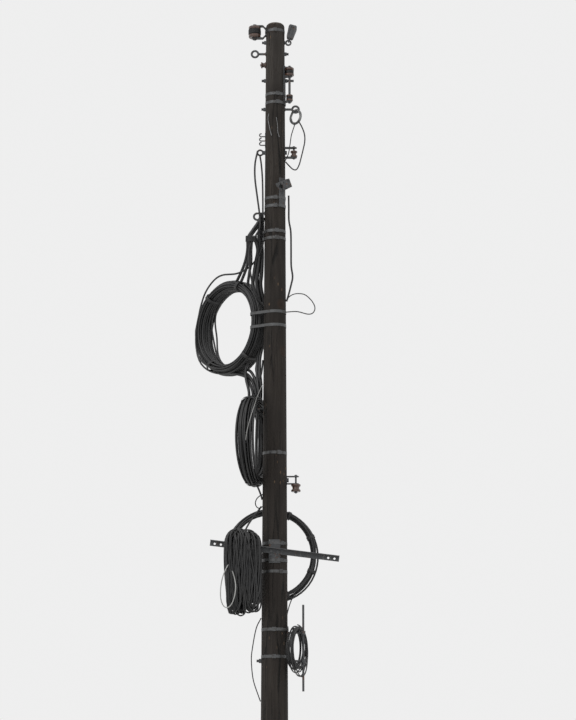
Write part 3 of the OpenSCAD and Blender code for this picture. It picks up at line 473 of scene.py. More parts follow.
def wound(bundle, spots, start, seed, first=0, last=None, wander=0.002, sway=0.1, still=0,
          bulges=(), splay=0, loose=0, way=-1):
    """Path of a cable in its bundle, from one count of turns to another, or through all the spots.

    It sets out at the angle start, which falls with way -1 and rises with way 1. Each turn keeps its
    spot and then moves to the next. Wander is its drift, and sway turns the section to and fro by so
    many radians, but not at the angle still. A bulge is a stretch that stands loose: its count of
    turns, its length in turns, and how far it stands out and along. Splay widens the bundle on the
    side away from the pole, and loose lets each turn hang its own way below its top.
    """
    keeps = 0.7
    last = len(spots) if last is None else last
    steps = bpy.context.scene.pole_cables.points_each_turn
    count = max(2, round(abs(last - first) * steps)) + 1
    path = []
    for k in range(count):
        turns = first + (last - first) * k / (count - 1)
        turn = min(int(turns), len(spots) - 1)
        here = spots[turn]
        there = spots[min(turn + 1, len(spots) - 1)]
        move = ease((turns - turn - keeps) / (1 - keeps))
        out = here[0] + (there[0] - here[0]) * move
        along = here[1] + (there[1] - here[1]) * move
        angle = math.radians(start) + way * TAU * turns
        lean = sway * math.sin(angle - math.radians(still))
        out, along = (
            out * math.cos(lean) - along * math.sin(lean),
            out * math.sin(lean) + along * math.cos(lean))
        far_side = max(0, -math.cos(angle)) ** 1.5
        along = bundle.half_w - (bundle.half_w - along) * (1 + splay * far_side)
        drift = noise.noise_vector(Vector((turns * 2.3, seed * 5.3, 0.7)))
        below_top = 0.55 - 0.45 * math.sin(angle)
        hang = noise.noise_vector(Vector((turns * 0.83, seed * 2.9, 4.1))) * below_top
        out += wander * drift.x + loose * hang.x
        along += wander * 1.5 * drift.y + loose * 1.3 * hang.y
        for centre, width, push_out, push_along in bulges:
            swell = math.exp(-(((turns - centre) / width) ** 2))
            out += push_out * swell
            along += push_along * swell
        path.append(bundle.point(angle, out, along))
    return path


def joined(lead, coil_path):
    """A lead that runs smoothly into a coil's path."""
    steps, every, shared = 8, 4, 3
    curve = smooth_path([*lead, *coil_path[:shared * every:every]], steps)
    return curve[: -steps * (shared - 1) - 1] + coil_path[every:]


def cable(name, path, d, finish, stands_for=()):
    """A free cable on this path, as one open curve."""
    curve = bpy.data.curves.new(name, "CURVE")
    curve.dimensions = "3D"
    curve.bevel_depth = d / 2
    curve.bevel_resolution = 2
    curve.use_fill_caps = True
    spline = curve.splines.new("POLY")
    spline.points.add(len(path) - 1)
    for point, place in zip(spline.points, path):
        point.co = (*place, 1.0)
    curve.materials.append(finish_of(finish))
    piece = bpy.data.objects.new(name, curve)
    bpy.context.scene.collection.objects.link(piece)
    if stands_for:
        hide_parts(*stands_for)
    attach(piece, "root")
    length_of(path)


# Coils


def coil_1_bundle():
    turn, half_t, half_w, radius, height = -47, 0.034, 0.068, 0.284, 4.661
    away = pole_radius(height - 0.06) + SEAT_GAP + half_t + radius
    bundle = Bundle((0, 0, height), turn, radius, half_t, half_w)
    bundle.centre -= bundle.out * away + bundle.axis * half_t
    return bundle


def coil_2_bundle():
    turn, half_t, half_w, radius, height = 74, 0.04, 0.05, 0.26, 3.857
    seat = pole_radius(height - radius) + half_w + SEAT_GAP
    return Bundle((-seat / math.sin(math.radians(turn)), 0, height), turn, radius, half_t, half_w)


def ring_bundle():
    half, radius, height = 0.025, 0.28, 3.126
    behind = pole_radius(height - radius) + half + 0.003
    return Bundle((-0.023, behind, height), 0, radius, half, half)


LEAD_IN = route(
    (-117, -12.3, 893), (-133, -26, 985), (-133, -30, 1088), (-116, -30, 1226), (-103, -36, 1329),
    (-100, -42, 1420), (-124, -38, 1474), (-158, -24, 1526), (-172, -8, 1600), (-162, 2, 1720),
    (-132, 8, 1850))
LEAD_OUT = route(
    (-102, -12.3, 918), (-92, -16, 985), (-84, -14, 1088), (-81, -15, 1240), (-80.5, -14, 1318),
    (-77, -6, 1390), (-75.6, 0, 1449), (-76, 0, 1497), (-84, 6, 1545), (-112, 28, 1606),
    (-170, 76, 1664), (-253, 135, 1694), (-356, 244, 1680), (-418, 310, 1706), (-474, 371, 1776))


class POLE_OT_first_coil(bpy.types.Operator):
    """Winds the first coil: the cable comes down the pole, goes round, and goes back up over the top"""

    bl_idname = "pole.first_coil"
    bl_label = "First coil"

    def execute(self, context):
        d = context.scene.pole_cables.cable_d
        bundle = coil_1_bundle()
        spots = bundle.spots(d, COIL_PITCH, order=(0, 2, 4, 3, 1))
        start, leaves_at = 8, 150
        turns = len(spots) - (leaves_at - start) / 360
        middle = len(spots) // 2
        bulges = [
            (1.45, 0.12, 0.012, -0.012), (3.62, 0.1, 0.012, 0.01), (6.42, 0.08, 0.018, -0.012),
            (16.5, 0.1, -0.052, 0.014), (17.48, 0.1, -0.034, 0.012), (18.53, 0.08, -0.016, 0.0),
            (5.42, 0.08, 0.02, -0.012), (32.2, 0.1, 0.012, 0.0), (14.3, 0.12, -0.02, 0.01),
        ]
        first = wound(bundle, spots, start, seed=3, last=middle, bulges=bulges)
        second = wound(bundle, spots, start, seed=3, first=turns, last=middle, bulges=bulges)
        cable("coil_1_cable", joined(LEAD_IN, first), d, "sheath", stands_for=("coil_lead", "coil_1"))
        cable("riser_left_cable", joined(LEAD_OUT, second), d, "sheath", stands_for=("riser_left",))
        return {"FINISHED"}


# Strands

# A row has the name, times the usual width, the place in the first coil's bundle (out, along), the
# angles of the coil where the strand lies in it, and its route. A feed's route comes before those
# angles, and a link's after them.

FEEDS = (
    ("feed_1", 1, 0.0, -0.03, (104, 118, 134), (
        (-90, -12, 1330), (-112, -18, 1384), (-146, -22, 1436), (-178, -20, 1491), (-182, 20, 1562),
        (-199, 80, 1629), (-234, 140, 1703), (-275, 200, 1751))),
    ("feed_2", 1, 0.0, 0.01, (90, 104, 120), (
        (-84, 4, 1330), (-104, 0, 1390), (-136, -10, 1440), (-165, -20, 1491), (-169, 10, 1565),
        (-179, 60, 1634), (-207, 120, 1708), (-241, 170, 1764))),
    ("feed_3", 1, 0.012, 0.03, (44, 32, 16), (
        (-152, -20, 1491), (-158, 0, 1567), (-159, 40, 1639), (-172, 84, 1715), (-176, 116, 1783))),
    ("feed_4", 1.3, 0.014, 0.0, (32, 20, 6), (
        (-132, -10, 1488), (-113, 20, 1562), (-126, 50, 1636), (-139, 70, 1720), (-146, 90, 1783))),
    ("feed_5", 1.3, 0.008, 0.024, (18, 6, -8), (
        (-88, 6, 1340), (-100, 10, 1394), (-106, 20, 1480), (-99, 30, 1560), (-106, 40, 1639),
        (-116, 50, 1725), (-118, 64, 1800))),
    ("feed_6", 1.3, 0.012, 0.05, (14, 2, -12), (
        (-78, 24, 1340), (-87, 30, 1389), (-93, 40, 1475), (-86, 45, 1556), (-86, 50, 1636),
        (-90, 56, 1724), (-94, 66, 1804))),
)
LINKS = (
    ("link_1", 1, 0.012, -0.03, (232, 246, 260), (
        (-205, 160, 2383), (-164, 90, 2450), (-143, 30, 2528), (-154, -50, 2595), (-172, -100, 2622))),
    ("link_2", 1, 0.0, 0.01, (244, 258, 272), (
        (-185, 140, 2374), (-144, 80, 2445), (-123, 20, 2530), (-135, -50, 2602), (-150, -100, 2628))),
    ("link_3", 1, 0.01, 0.03, (254, 268, 282), (
        (-164, 120, 2358), (-124, 70, 2441), (-110, 30, 2528), (-109, -30, 2605), (-128, -90, 2640))),
    ("link_4", 1, 0.01, 0.05, (14, 2, -12, -24), (
        (-98, 80, 2278), (-98, 60, 2376), (-91, 50, 2464), (-91, 64, 2549), (-94, 110, 2620),
        (-97, 156, 2700), (-100, 184, 2800), (-102, 190, 2900), (-103, 176, 2990), (-104, 148, 3055))),
    ("link_5", 1, 0.012, 0.02, (4, -10, -22), (
        (-112, 100, 2274), (-118, 80, 2372), (-111, 50, 2464), (-103, 10, 2556), (-115, -50, 2620),
        (-124, -100, 2650))),
    ("link_6", 1, 0.0, 0.02, (-8, -20, -32), (
        (-185, 140, 2313), (-190, 100, 2408), (-169, 40, 2513), (-172, -40, 2595), (-186, -90, 2625))),
    ("link_7", 1, 0.016, 0.04, (2, -12, -26), (
        (-120, 104, 2330), (-112, 84, 2400), (-106, 48, 2480), (-108, 0, 2560), (-128, -70, 2626))),
    ("link_8", 1, 0.0, -0.01, (236, 250, 264), (
        (-214, 176, 2372), (-156, 116, 2410), (-116, 72, 2476), (-108, 56, 2550), (-112, 84, 2625),
        (-117, 130, 2700), (-121, 166, 2800), (-122, 172, 2900), (-121, 158, 2990),
        (-118, 130, 3055))),
)


class POLE_OT_strands(bpy.types.Operator):
    """Runs the strands that come down the pole to the first coil, and from it to the second"""

    bl_idname = "pole.strands"
    bl_label = "Strands"

    def execute(self, context):
        d = context.scene.pole_cables.strand_d
        bundle = coil_1_bundle()
        for name, times, out, along, angles, points in FEEDS + LINKS:
            way = route(*points)
            lying = bundle.points(angles, out, along)
            path = smooth_path(way + lying if name.startswith("feed") else lying + way)
            cable("coil_" + name, path, times * d, "sheath")
        axis = Vector((-0.157, -0.02, POLE_TOP - 1.497))
        across, deep, turns, pitch, wire_d = 0.036, 0.022, 7, 0.0056, 0.005
        lashing = []
        for k in range(turns * TURN_POINTS):
            turned = k / TURN_POINTS
            lashing.append(axis + Vector((
                across * math.cos(TAU * turned), deep * math.sin(TAU * turned), 0.02 - pitch * turned)))
        cable("feed_lashing", lashing, wire_d, "old_sheath")
        return {"FINISHED"}


class POLE_OT_second_coil(bpy.types.Operator):
    """Winds the second coil, which hangs on its hook beside the pole"""

    bl_idname = "pole.second_coil"
    bl_label = "Second coil"

    def execute(self, context):
        d = context.scene.pole_cables.cable_d
        bundle = coil_2_bundle()
        spots = bundle.spots(d, COIL_PITCH)
        lead = route(
            (-78, -18, 2312), (-84, 6, 2370), (-96, 44, 2420), (-112, 66, 2470), (-126, 52, 2515))
        turns = wound(
            bundle, spots, start=92, seed=8, sway=0.12, still=90, splay=0.3, way=1,
            bulges=[(4.2, 0.1, 0.01, 0.01), (22.4, 0.1, -0.016, -0.01), (26.7, 0.1, -0.012, -0.01)])
        cable("coil_2_cable", joined(lead, turns), d, "sheath", stands_for=("coil_2",))
        tail = route((-118, -30, 3133), (-104, -20, 3160), (-90, -14, 3196), (-80.5, -8, 3228))
        cable("coil_2_tail", smooth_path(tail), d, "sheath")
        return {"FINISHED"}


class POLE_OT_ring_coil(bpy.types.Operator):
    """Winds the wide ring coil on the two hooks behind the pole"""

    bl_idname = "pole.ring_coil"
    bl_label = "Ring coil"

    def execute(self, context):
        d = context.scene.pole_cables.cable_d
        bundle = ring_bundle()
        spots = bundle.spots(d, COIL_PITCH)
        path = wound(
            bundle, spots, start=90, seed=5, wander=0.003, sway=0.7, loose=0.008,
            bulges=[(0.4, 0.12, 0.012, 0.0), (2.35, 0.1, -0.016, 0.006), (6.4, 0.1, 0.012, 0)])
        cable("ring_coil_cable", path, d, "old_sheath", stands_for=("ring_coil",))
        return {"FINISHED"}


class POLE_OT_small_coil(bpy.types.Operator):
    """Winds the small loose coil on the rod's bracket"""

    bl_idname = "pole.small_coil"
    bl_label = "Small coil"

    def execute(self, context):
        d = context.scene.pole_cables.small_d
        bundle = Bundle((0.145, 0, 2.5153), turn=70, radius=0.135, half_t=0.025, half_w=0.025)
        spots = bundle.spots(d, pitch=0.0098)
        path = wound(
            bundle, spots, start=90, seed=11, wander=0.005, sway=0.5, still=90, loose=0.075)
        cable("small_coil_wire", path, d, "sheath", stands_for=("small_coil",))
        return {"FINISHED"}


class POLE_OT_wire_ring(bpy.types.Operator):
    """Winds the ring of tie wire that hangs in the right eye"""

    bl_idname = "pole.wire_ring"
    bl_label = "Wire ring"

    def execute(self, context):
        d = context.scene.pole_cables.tie_wire_d
        bundle = Bundle((0.1362, 0, 6.0483), turn=-45, radius=0.046, half_t=0.009, half_w=0.009)
        spots = bundle.spots(d, pitch=0.0046)
        path = wound(bundle, spots, start=90, seed=17, wander=0.0006, sway=0.6, still=90)
        cable("tie_wire_ring", path, d, "tie_wire", stands_for=("wire_ring",))
        return {"FINISHED"}


# Skeins


def arm_top(x):
    """Height of the arm's upper edge at x."""
    slope, middle, half_leg = math.radians(7.1), 3.132, 0.018
    return middle - x * math.tan(slope) + half_leg / math.cos(slope)


def hanging_loop(half, foot, low, high):
    """Points of an upright loop as (across, height), from its top: its foot is rounder or narrower."""
    steps, sides = 12, 9
    arc = [k * math.pi / steps for k in range(steps)]
    quarter = arc[:steps // 2]
    top, bottom = high - half, low + foot
    points = [(half * math.sin(a), top + half * math.cos(a)) for a in quarter]
    points += [
        (half + (foot - half) * k / sides, top + (bottom - top) * k / sides) for k in range(sides)]
    points += [(foot * math.cos(a), bottom - foot * math.sin(a)) for a in arc]
    points += [
        (-foot + (foot - half) * k / sides, bottom + (top - bottom) * k / sides) for k in range(sides)]
    return points + [(-half * math.cos(a), top + half * math.sin(a)) for a in quarter]


def skein_path(left, right, low, d, count, seed):
    """Path of the wire in a skein: loops that stand askew and heap up on the arm."""
    rng = random.Random(seed)
    centre_y = -(pole_radius(3.102) + 0.026)
    narrow, arm_half, narrow_foot, seat = 0.031, 0.0275, 0.024, 0.012
    heap_middle, heap_half, heap = -0.2, 0.115, 0.078
    draw_in, draw_in_above = 0.1, 0.33
    loops = []
    side = 1
    for number in range(count):
        share = number / (count - 1)
        if rng.random() < 0.3:
            side = -side
        half = narrow + (0.012 + 0.042 * share) * rng.random() ** 0.6
        turn = side * math.acos(arm_half / half) * rng.uniform(0.4, 0.98)
        reach = half * math.sin(abs(turn))
        place = rng.uniform(left + reach, right - reach)
        dome = 1 - 0.5 * min(1, abs(place - heap_middle) / heap_half) ** 2
        high = arm_top(place) + seat + d / 2 + (share * heap + 0.01 * rng.random()) * dome
        foot = max(narrow_foot, half * rng.uniform(0.66, 1.02))
        rest = low + (1 - share) * 0.07 + rng.choice((0, 0, 0.012, 0.03, 0.055))
        rest += rng.uniform(-0.012, 0.012)
        lean = rng.uniform(-0.022, 0.022) / 0.4
        loop = []
        for across, height in hanging_loop(half, foot, rest, high):
            least = left + draw_in * max(0, draw_in_above + low - height)
            x = place + across * math.sin(turn) + lean * (high - height)
            loop.append(Vector((
                min(max(x, least), right), centre_y + across * math.cos(turn), height)))
        loops.append(loop)
    path = []
    for number, here in enumerate(loops):
        there = loops[min(number + 1, len(loops) - 1)]
        for k, (a, b) in enumerate(zip(here, there)):
            share = k / len(here)
            drift = noise.noise_vector(Vector((number + share, seed * 3.1, share * 5)))
            loose = 0.016 * math.sin(math.pi * share) ** 2
            path.append(a.lerp(b, ease((share - 0.5) / 0.45)) + loose * drift)
    smoothings = 3
    for _ in range(smoothings):
        inner = [(a + 2 * b + c) / 4 for a, b, c in zip(path, path[1:], path[2:])]
        path = [path[0], *inner, path[-1]]
    return path


# A row has the name, the size that gives the diameter, the finish and the route.

SMALL_CORDS = (
    ("coil_2_tie", "tie_wire_d", "pale_sheath", (
        (-78, -54, 2478), (-108, -132, 2562), (-133, -242, 2662), (-157, -294, 2752),
        (-176, -310, 2834), (-182, -316, 2887))),
    ("skein_ear", "wire_d", "pale_sheath", (
        (-290, -138, 3654), (-306, -172, 3688), (-322, -192, 3728), (-334, -199, 3776),
        (-340, -203, 3832), (-337, -204, 3886), (-321, -205, 3926), (-296, -206, 3938),
        (-270, -206, 3916), (-252, -206, 3868), (-244, -203, 3812), (-250, -190, 3762),
        (-262, -166, 3718), (-274, -132, 3690))),
    ("skein_lead", "cable_d", "sheath", (
        (-86, -20, 3274), (-118, -36, 3320), (-145, -60, 3359), (-170, -84, 3401), (-188, -102, 3442),
        (-198, -112, 3480))),
    ("ring_tail", "wire_d", "sheath", (
        (150, 118, 3790), (120, 112, 3836), (96, 92, 3896), (80, 50, 3962), (76, 24, 4020))),
    ("ring_curl", "wire_d", "sheath", (
        (-76, -30, 3196), (-96, -46, 3208), (-116, -54, 3230), (-124, -56, 3256), (-116, -54, 3280),
        (-98, -46, 3288), (-80, -32, 3276))),
)


class POLE_OT_skeins(bpy.types.Operator):
    """Hangs the two skeins of drop wire over the arm, and the small cords round them"""

    bl_idname = "pole.skeins"
    bl_label = "Skeins"

    def execute(self, context):
        sizes = context.scene.pole_cables
        loops = 46
        for name, left, right, low, seed in (
                ("skein_1", -0.32, -0.17, 2.712, 21), ("skein_2", -0.235, -0.084, 2.738, 34)):
            path = skein_path(left, right, low, sizes.skein_d, loops, seed)
            cable(
                name + "_wire", path, sizes.skein_d, "old_sheath",
                stands_for=(name,))
        for name, size, finish, points in SMALL_CORDS:
            path = smooth_path(route(*points))
            cable(name, path, getattr(sizes, size), finish)
        return {"FINISHED"}


# Single wires


# A row has the name, the size that gives the diameter, and the route.

WIRES = (
    ("riser_right", "cable_d", (
        (90, 16, 1192), (91, 16, 1275), (92, 16, 1363), (104, 18, 1438), (106, 18, 1550),
        (107, 18, 1669), (116, 18, 1744), (106, 18, 1800), (86, 16, 1880), (76, 14, 1912))),
    ("jumper_loop", "jumper_d", (
        (157, -26, 690), (179, -32, 734), (195, -35, 782), (197, -37, 834), (186, -36, 890),
        (173, -34, 944), (160, -31, 992), (142, -29, 1024), (119, -25, 1022), (93, -20, 996),
        (70, -14, 968))),
    ("jumper_wire", "wire_d", (
        (132, 5, 694), (127, -18, 722), (118, -37, 756), (107, -43, 798), (99, -42, 856),
        (88, -38, 920), (66, -24, 966))),
    ("side_loop", "wire_d", (
        (74, -14, 1910), (94, -22, 1889), (121, -28, 1874), (158, -32, 1870), (200, -34, 1880),
        (243, -36, 1922), (262, -36, 1966), (249, -36, 2000), (215, -34, 2008), (145, -28, 1990),
        (74, -14, 1990))),
    ("foot_wire", "wire_d", (
        (-86, -6, 3988), (-117, -12, 4055), (-140, -16, 4176), (-147, -18, 4257), (-135, -18, 4377),
        (-102, -12, 4478), (-88.8, -6, 4514))),
)

# These lie on the pole's face, at places given as (x, drop).

BARE_WIRES = (
    ("bare_wire_1", ((-42, 646), (-47, 680), (-42, 716), (-34, 758), (-24, 800))),
    ("bare_wire_2", ((8, 676), (14, 712), (17, 748), (18, 776), (28, 812))),
)


class POLE_OT_wires(bpy.types.Operator):
    """Runs the single wires and the right riser"""

    bl_idname = "pole.wires"
    bl_label = "Wires"

    def execute(self, context):
        sizes = context.scene.pole_cables
        for name, size, points in WIRES:
            cable(
                name + "_cable", smooth_path(route(*points)), getattr(sizes, size), "sheath",
                stands_for=(name,))
        off_face = 3
        for name, places in BARE_WIRES:
            points = []
            for x, drop in places:
                reach = pole_radius(POLE_TOP - drop / 1000) * 1000 + off_face
                points.append((x, -math.sqrt(reach * reach - x * x), drop))
            path = smooth_path(route(*points))
            cable(name, path, sizes.tie_wire_d, "tie_wire")
        return {"FINISHED"}


def wrap_path(centre, core, layers, rise, d):
    """Wire wound on an upright spool, in layers that run up and down its groove."""
    path = []
    each = int(rise / (d * 1.02))
    count = each * TURN_POINTS
    for layer in range(layers):
        reach = core + d / 2 + layer * d * 0.92
        for k in range(count):
            turns = layer * each + k / TURN_POINTS
            share = k / count
            height = (share - 0.5 if layer % 2 == 0 else 0.5 - share) * rise
            path.append(centre + Vector((
                reach * math.cos(TAU * turns), reach * math.sin(TAU * turns), height)))
    return path


class POLE_OT_wraps(bpy.types.Operator):
    """Winds the tie wires on the spools' grooves"""

    bl_idname = "pole.wraps"
    bl_label = "Spool wraps"

    def execute(self, context):
        for name, node, core, layers, rise, d in (
                ("left_spool_wrap", "left_spool", 0.0275, 3, 0.031, 0.0055),
                ("rack_spool_wrap", "rack_upper_spool", 0.02, 2, 0.02, 0.0045),
                ("rack_low_wrap", "rack_lower_spool", 0.0155, 2, 0.014, 0.0035)):
            low, high = (Vector(corner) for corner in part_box(node))
            path = wrap_path((low + high) / 2, core, layers, rise, d)
            cable(name, path, d, "old_sheath")
        return {"FINISHED"}


# Nodes with the right shape


class POLE_OT_timber(bpy.types.Operator):
    """Finishes the timber"""

    bl_idname = "pole.timber"
    bl_label = "Timber"

    def execute(self, context):
        dress(["pole_shaft"], "timber")
        return {"FINISHED"}


class POLE_OT_irons(bpy.types.Operator):
    """Finishes the galvanised irons, bolts, hooks and the arm"""

    bl_idname = "pole.irons"
    bl_label = "Irons"

    def execute(self, context):
        dress([
            "left_iron", "anchor_eye", "anchor_clamp", "left_eye_bolt", "rack_frame", "rack_bolt",
            "ring_eye", "hook_plate", "right_clevis", "eye_nut", "cable_clamp", "pigtail_bolt",
            "coil_2_hook", "low_clevis", "arm_pad", "cable_arm", "ring_hooks", "rod_bracket",
            "standoff_rod",
        ], "zinc")
        return {"FINISHED"}


class POLE_OT_straps(bpy.types.Operator):
    """Finishes the steel straps and their buckles"""

    bl_idname = "pole.straps"
    bl_label = "Straps"

    def execute(self, context):
        dress([
            "top_strap", "rack_straps", "clamp_straps", "guide_straps", "coil_1_straps", "coil_strap",
            "arm_straps", "rod_straps",
        ], "band")
        return {"FINISHED"}


class POLE_OT_spools(bpy.types.Operator):
    """Finishes the porcelain spools and knobs"""

    bl_idname = "pole.spools"
    bl_label = "Spools"

    def execute(self, context):
        dress([
            "left_spool", "side_knob", "rack_upper_spool", "rack_lower_spool", "clevis_knob",
            "low_clevis_knob",
        ], "glaze")
        return {"FINISHED"}


# Repeated pieces


def marked_mesh(name, points, edges, marks):
    """Mesh of points and edges, with a vector at each point as its attribute mark."""
    mesh = bpy.data.meshes.new(name)
    mesh.from_pydata(points, edges, [])
    stored = mesh.attributes.new("mark", "FLOAT_VECTOR", "POINT")
    for item, mark in zip(stored.data, marks):
        item.vector = mark
    return mesh


def node_tree(name, sizes):
    """Geometry node tree with an input for each size: its group, and its inputs and marks as values."""
    group = bpy.data.node_groups.new(name, "GeometryNodeTree")
    group.interface.new_socket("Geometry", in_out="INPUT", socket_type="NodeSocketGeometry")
    for label, size in sizes.items():
        socket = group.interface.new_socket(label, in_out="INPUT", socket_type="NodeSocketFloat")
        socket.default_value = size
    group.interface.new_socket("Geometry", in_out="OUTPUT", socket_type="NodeSocketGeometry")
    tree = Tree(group)
    entry = group.nodes.new("NodeGroupInput")
    given = {socket.name: Value(tree, socket) for socket in entry.outputs if socket.name}
    given["mark"] = tree.add(
        "GeometryNodeInputNamedAttribute", {"data_type": "FLOAT_VECTOR"}, {"Name": "mark"})
    return group, tree, given


def end_tree(tree, geometry, finish):
    """Ends a tree in Realize Instances and Set Material."""
    real = tree.add("GeometryNodeRealizeInstances", None, {"Geometry": geometry})
    done = tree.add("GeometryNodeSetMaterial", None, {"Geometry": real, "Material": finish_of(finish)})
    tree.add("NodeGroupOutput", None, {0: done})


def made_plain(name, source, group, sizes):
    """Runs a geometry node tree on source and keeps the result as a plain mesh."""
    holder = bpy.data.objects.new(name + "_source", source)
    bpy.context.scene.collection.objects.link(holder)
    modifier = holder.modifiers.new("Tree", "NODES")
    modifier.node_group = group
    for item in group.interface.items_tree:
        if item.in_out == "INPUT" and item.name in sizes:
            modifier[item.identifier] = sizes[item.name]
    bpy.context.view_layer.update()
    evaluated = holder.evaluated_get(bpy.context.evaluated_depsgraph_get())
    mesh = bpy.data.meshes.new_from_object(evaluated)
    bpy.data.objects.remove(holder)
    piece = bpy.data.objects.new(name, mesh)
    bpy.context.scene.collection.objects.link(piece)
    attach(piece, "root")


def section_loop(bundle, angle, grow):
    """Closed path round the bundle's section at an angle of the coil, and the coil's way there."""
    angle = math.radians(angle)
    flat = bundle.half_w - bundle.half_t
    reach = bundle.half_t + grow
    count = 28
    points = []
    for k in range(count):
        a = TAU * (k + 0.5) / count
        along = reach * math.sin(a) + math.copysign(flat, math.sin(a))
        points.append(bundle.point(angle, reach * math.cos(a), along))
    way = Vector((0, 0, math.cos(angle))) - bundle.out * math.sin(angle)
    return points, way


class POLE_OT_ties(bpy.types.Operator):
    """Puts tape ties round the bundles of the coils"""

    bl_idname = "pole.ties"
    bl_label = "Ties"

    def execute(self, context):
        points, edges, ways = [], [], []
        for bundle, angles, grow in (
                (coil_1_bundle(), (66, 128, 236, 312), 0.0012),
                (coil_2_bundle(), (62, 118, 262), 0.0012),
                (ring_bundle(), (24, 66, 158, 205, 292, 338), 0.002)):
            for angle in angles:
                loop, way = section_loop(bundle, angle, grow)
                first = len(points)
                points += loop
                ways += [way] * len(loop)
                edges += [(first + k, first + (k + 1) % len(loop)) for k in range(len(loop))]
        mesh = marked_mesh("tie_paths", points, edges, ways)
        sizes = {"Tape Width": 0.024, "Tape Thickness": 0.0012}
        group, tree, given = node_tree("Tape Ties", sizes)
        line = tree.add("GeometryNodeMeshToCurve", None, {"Mesh": given["Geometry"]})
        line = tree.add(
            "GeometryNodeSetCurveNormal", {"mode": "FREE"}, {"Curve": line, "Normal": given["mark"]})
        profile = tree.add(
            "GeometryNodeCurvePrimitiveQuadrilateral", {"mode": "RECTANGLE"},
            {0: given["Tape Width"], 1: given["Tape Thickness"]})
        wrapped = tree.add(
            "GeometryNodeCurveToMesh", None,
            {"Curve": line, "Profile Curve": profile, "Fill Caps": True})
        end_tree(tree, wrapped, "tape")
        made_plain("tape_ties", mesh, group, sizes)
        return {"FINISHED"}


class POLE_OT_threads(bpy.types.Operator):
    """Cuts the threads on the bolt ends that stand out of their nuts"""

    bl_idname = "pole.threads"
    bl_label = "Threads"

    def execute(self, context):
        washer, nut, tail, sunk, chamfer = 0.004, 0.013, 0.014, 0.0005, 0.001
        points, turns = [], []
        for drop, side, washer_side in (
                (132, -1, 44), (212, 1, 44), (400, -1, 44), (600, -1, 44), (4259, -1, 28)):
            height = POLE_TOP - drop / 1000
            half = washer_side / 2000
            flat = math.sqrt(pole_radius(height + half) ** 2 - half ** 2) - sunk
            points.append((side * (flat + SEAT_GAP + washer + nut), 0, height))
            turns.append((0, side * math.pi / 2, 0))
        mesh = marked_mesh("bolt_ends", points, [], turns)
        sizes = {"Bolt Radius": 0.008, "Pitch": 0.002, "Length": tail - chamfer, "Ridge": 0.0007}
        group, tree, given = node_tree("Bolt Threads", sizes)
        spiral = tree.add(
            "GeometryNodeCurveSpiral", None, {
                "Resolution": 20, "Rotations": given["Length"] / given["Pitch"],
                "Start Radius": given["Bolt Radius"], "End Radius": given["Bolt Radius"],
                "Height": given["Length"]})
        ridge = tree.add(
            "GeometryNodeCurvePrimitiveCircle", None, {"Resolution": 4, "Radius": given["Ridge"]})
        thread = tree.add(
            "GeometryNodeCurveToMesh", None,
            {"Curve": spiral, "Profile Curve": ridge, "Fill Caps": True})
        placed = tree.add(
            "GeometryNodeInstanceOnPoints", None,
            {"Points": given["Geometry"], "Instance": thread, "Rotation": given["mark"]})
        end_tree(tree, placed, "zinc")
        made_plain("bolt_threads", mesh, group, sizes)
        return {"FINISHED"}


# Stage


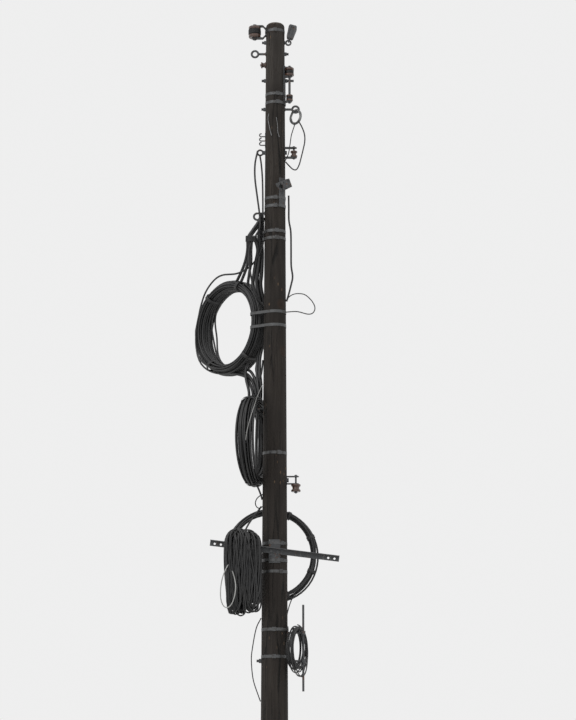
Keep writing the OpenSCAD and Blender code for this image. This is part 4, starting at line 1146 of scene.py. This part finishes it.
class POLE_OT_stage(bpy.types.Operator):
    """Sets the pale floor, the soft light, the background and the camera"""

    bl_idname = "pole.stage"
    bl_label = "Stage"

    def execute(self, context):
        scene = context.scene
        studio = scene.pole_studio
        scene.view_settings.view_transform = "Standard"

        aside, tilt = 0.0857, 11.28
        camera = bpy.data.objects.new("Camera", bpy.data.cameras.new("Camera"))
        scene.collection.objects.link(camera)
        camera.data.sensor_fit = "VERTICAL"
        camera.data.sensor_height = 36
        camera.data.lens = 109.25
        camera.data.clip_end = 200
        camera.location = (aside, -studio.camera_away, studio.camera_up)
        camera.rotation_euler = (math.radians(90 + tilt), 0, 0)
        scene.camera = camera

        half = 40
        corners = [(-half, -half, 0), (half, -half, 0), (half, half, 0), (-half, half, 0)]
        mesh = bpy.data.meshes.new("floor")
        mesh.from_pydata(corners, [], [(0, 1, 2, 3)])
        mesh.materials.append(finish_of("pale_floor"))
        floor = bpy.data.objects.new("floor", mesh)
        scene.collection.objects.link(floor)

        softness, from_above, from_left = math.radians(35), math.radians(48), math.radians(-38)
        lamp = bpy.data.lights.new("key", "SUN")
        lamp.energy = studio.key
        lamp.angle = softness
        key = bpy.data.objects.new("key", lamp)
        key.rotation_euler = (from_above, 0, from_left)
        scene.collection.objects.link(key)

        world = scene.world or bpy.data.worlds.new("World")
        scene.world = world
        world.use_nodes = True
        tree = Tree(world.node_tree)
        rays = tree.add("ShaderNodeLightPath").socket.node.outputs
        seen = Value(tree, rays["Is Camera Ray"])
        for name in ("Is Glossy Ray", "Is Transmission Ray"):
            seen = seen.most(Value(tree, rays[name]))
        light = tree.add(
            "ShaderNodeBackground", None, {"Color": (1, 1, 1, 1), "Strength": studio.fill})
        pale = tree.add(
            "ShaderNodeBackground", None,
            {"Color": (studio.sky, studio.sky, studio.sky, 1), "Strength": 1.0})
        mixed = tree.add("ShaderNodeMixShader", None, {0: seen, 1: light, 2: pale})
        tree.add("ShaderNodeOutputWorld", None, {"Surface": mixed})
        return {"FINISHED"}


STEPS = (
    POLE_OT_stage, POLE_OT_first_coil, POLE_OT_second_coil, POLE_OT_ring_coil, POLE_OT_small_coil,
    POLE_OT_strands, POLE_OT_wire_ring, POLE_OT_skeins, POLE_OT_wires, POLE_OT_wraps, POLE_OT_timber,
    POLE_OT_irons, POLE_OT_straps, POLE_OT_spools, POLE_OT_ties, POLE_OT_threads,
)
SETTINGS = {"pole_cables": PoleCables, "pole_finishes": PoleFinishes, "pole_studio": PoleStudio}


class POLE_PT_pieces(bpy.types.Panel):
    """Lists the pole's pieces, sizes and colours"""

    bl_idname = "POLE_PT_pieces"
    bl_label = "Wooden pole"
    bl_space_type = "VIEW_3D"
    bl_region_type = "UI"
    bl_category = "Pole"

    def draw(self, context):
        for group, kind in SETTINGS.items():
            box = self.layout.box()
            for name in kind.__annotations__:
                box.prop(getattr(context.scene, group), name)
        for step in STEPS:
            self.layout.operator(step.bl_idname, text=step.bl_label)


CLASSES = (*SETTINGS.values(), *STEPS, POLE_PT_pieces)


def register():
    for each in CLASSES:
        bpy.utils.register_class(each)
    for group, kind in SETTINGS.items():
        setattr(bpy.types.Scene, group, bpy.props.PointerProperty(type=kind))


def unregister():
    for group in SETTINGS:
        delattr(bpy.types.Scene, group)
    for each in reversed(CLASSES):
        bpy.utils.unregister_class(each)


def main():
    register()
    for step in STEPS:
        group, name = step.bl_idname.split(".")
        getattr(getattr(bpy.ops, group), name)()


if __name__ == "__main__":
    main()
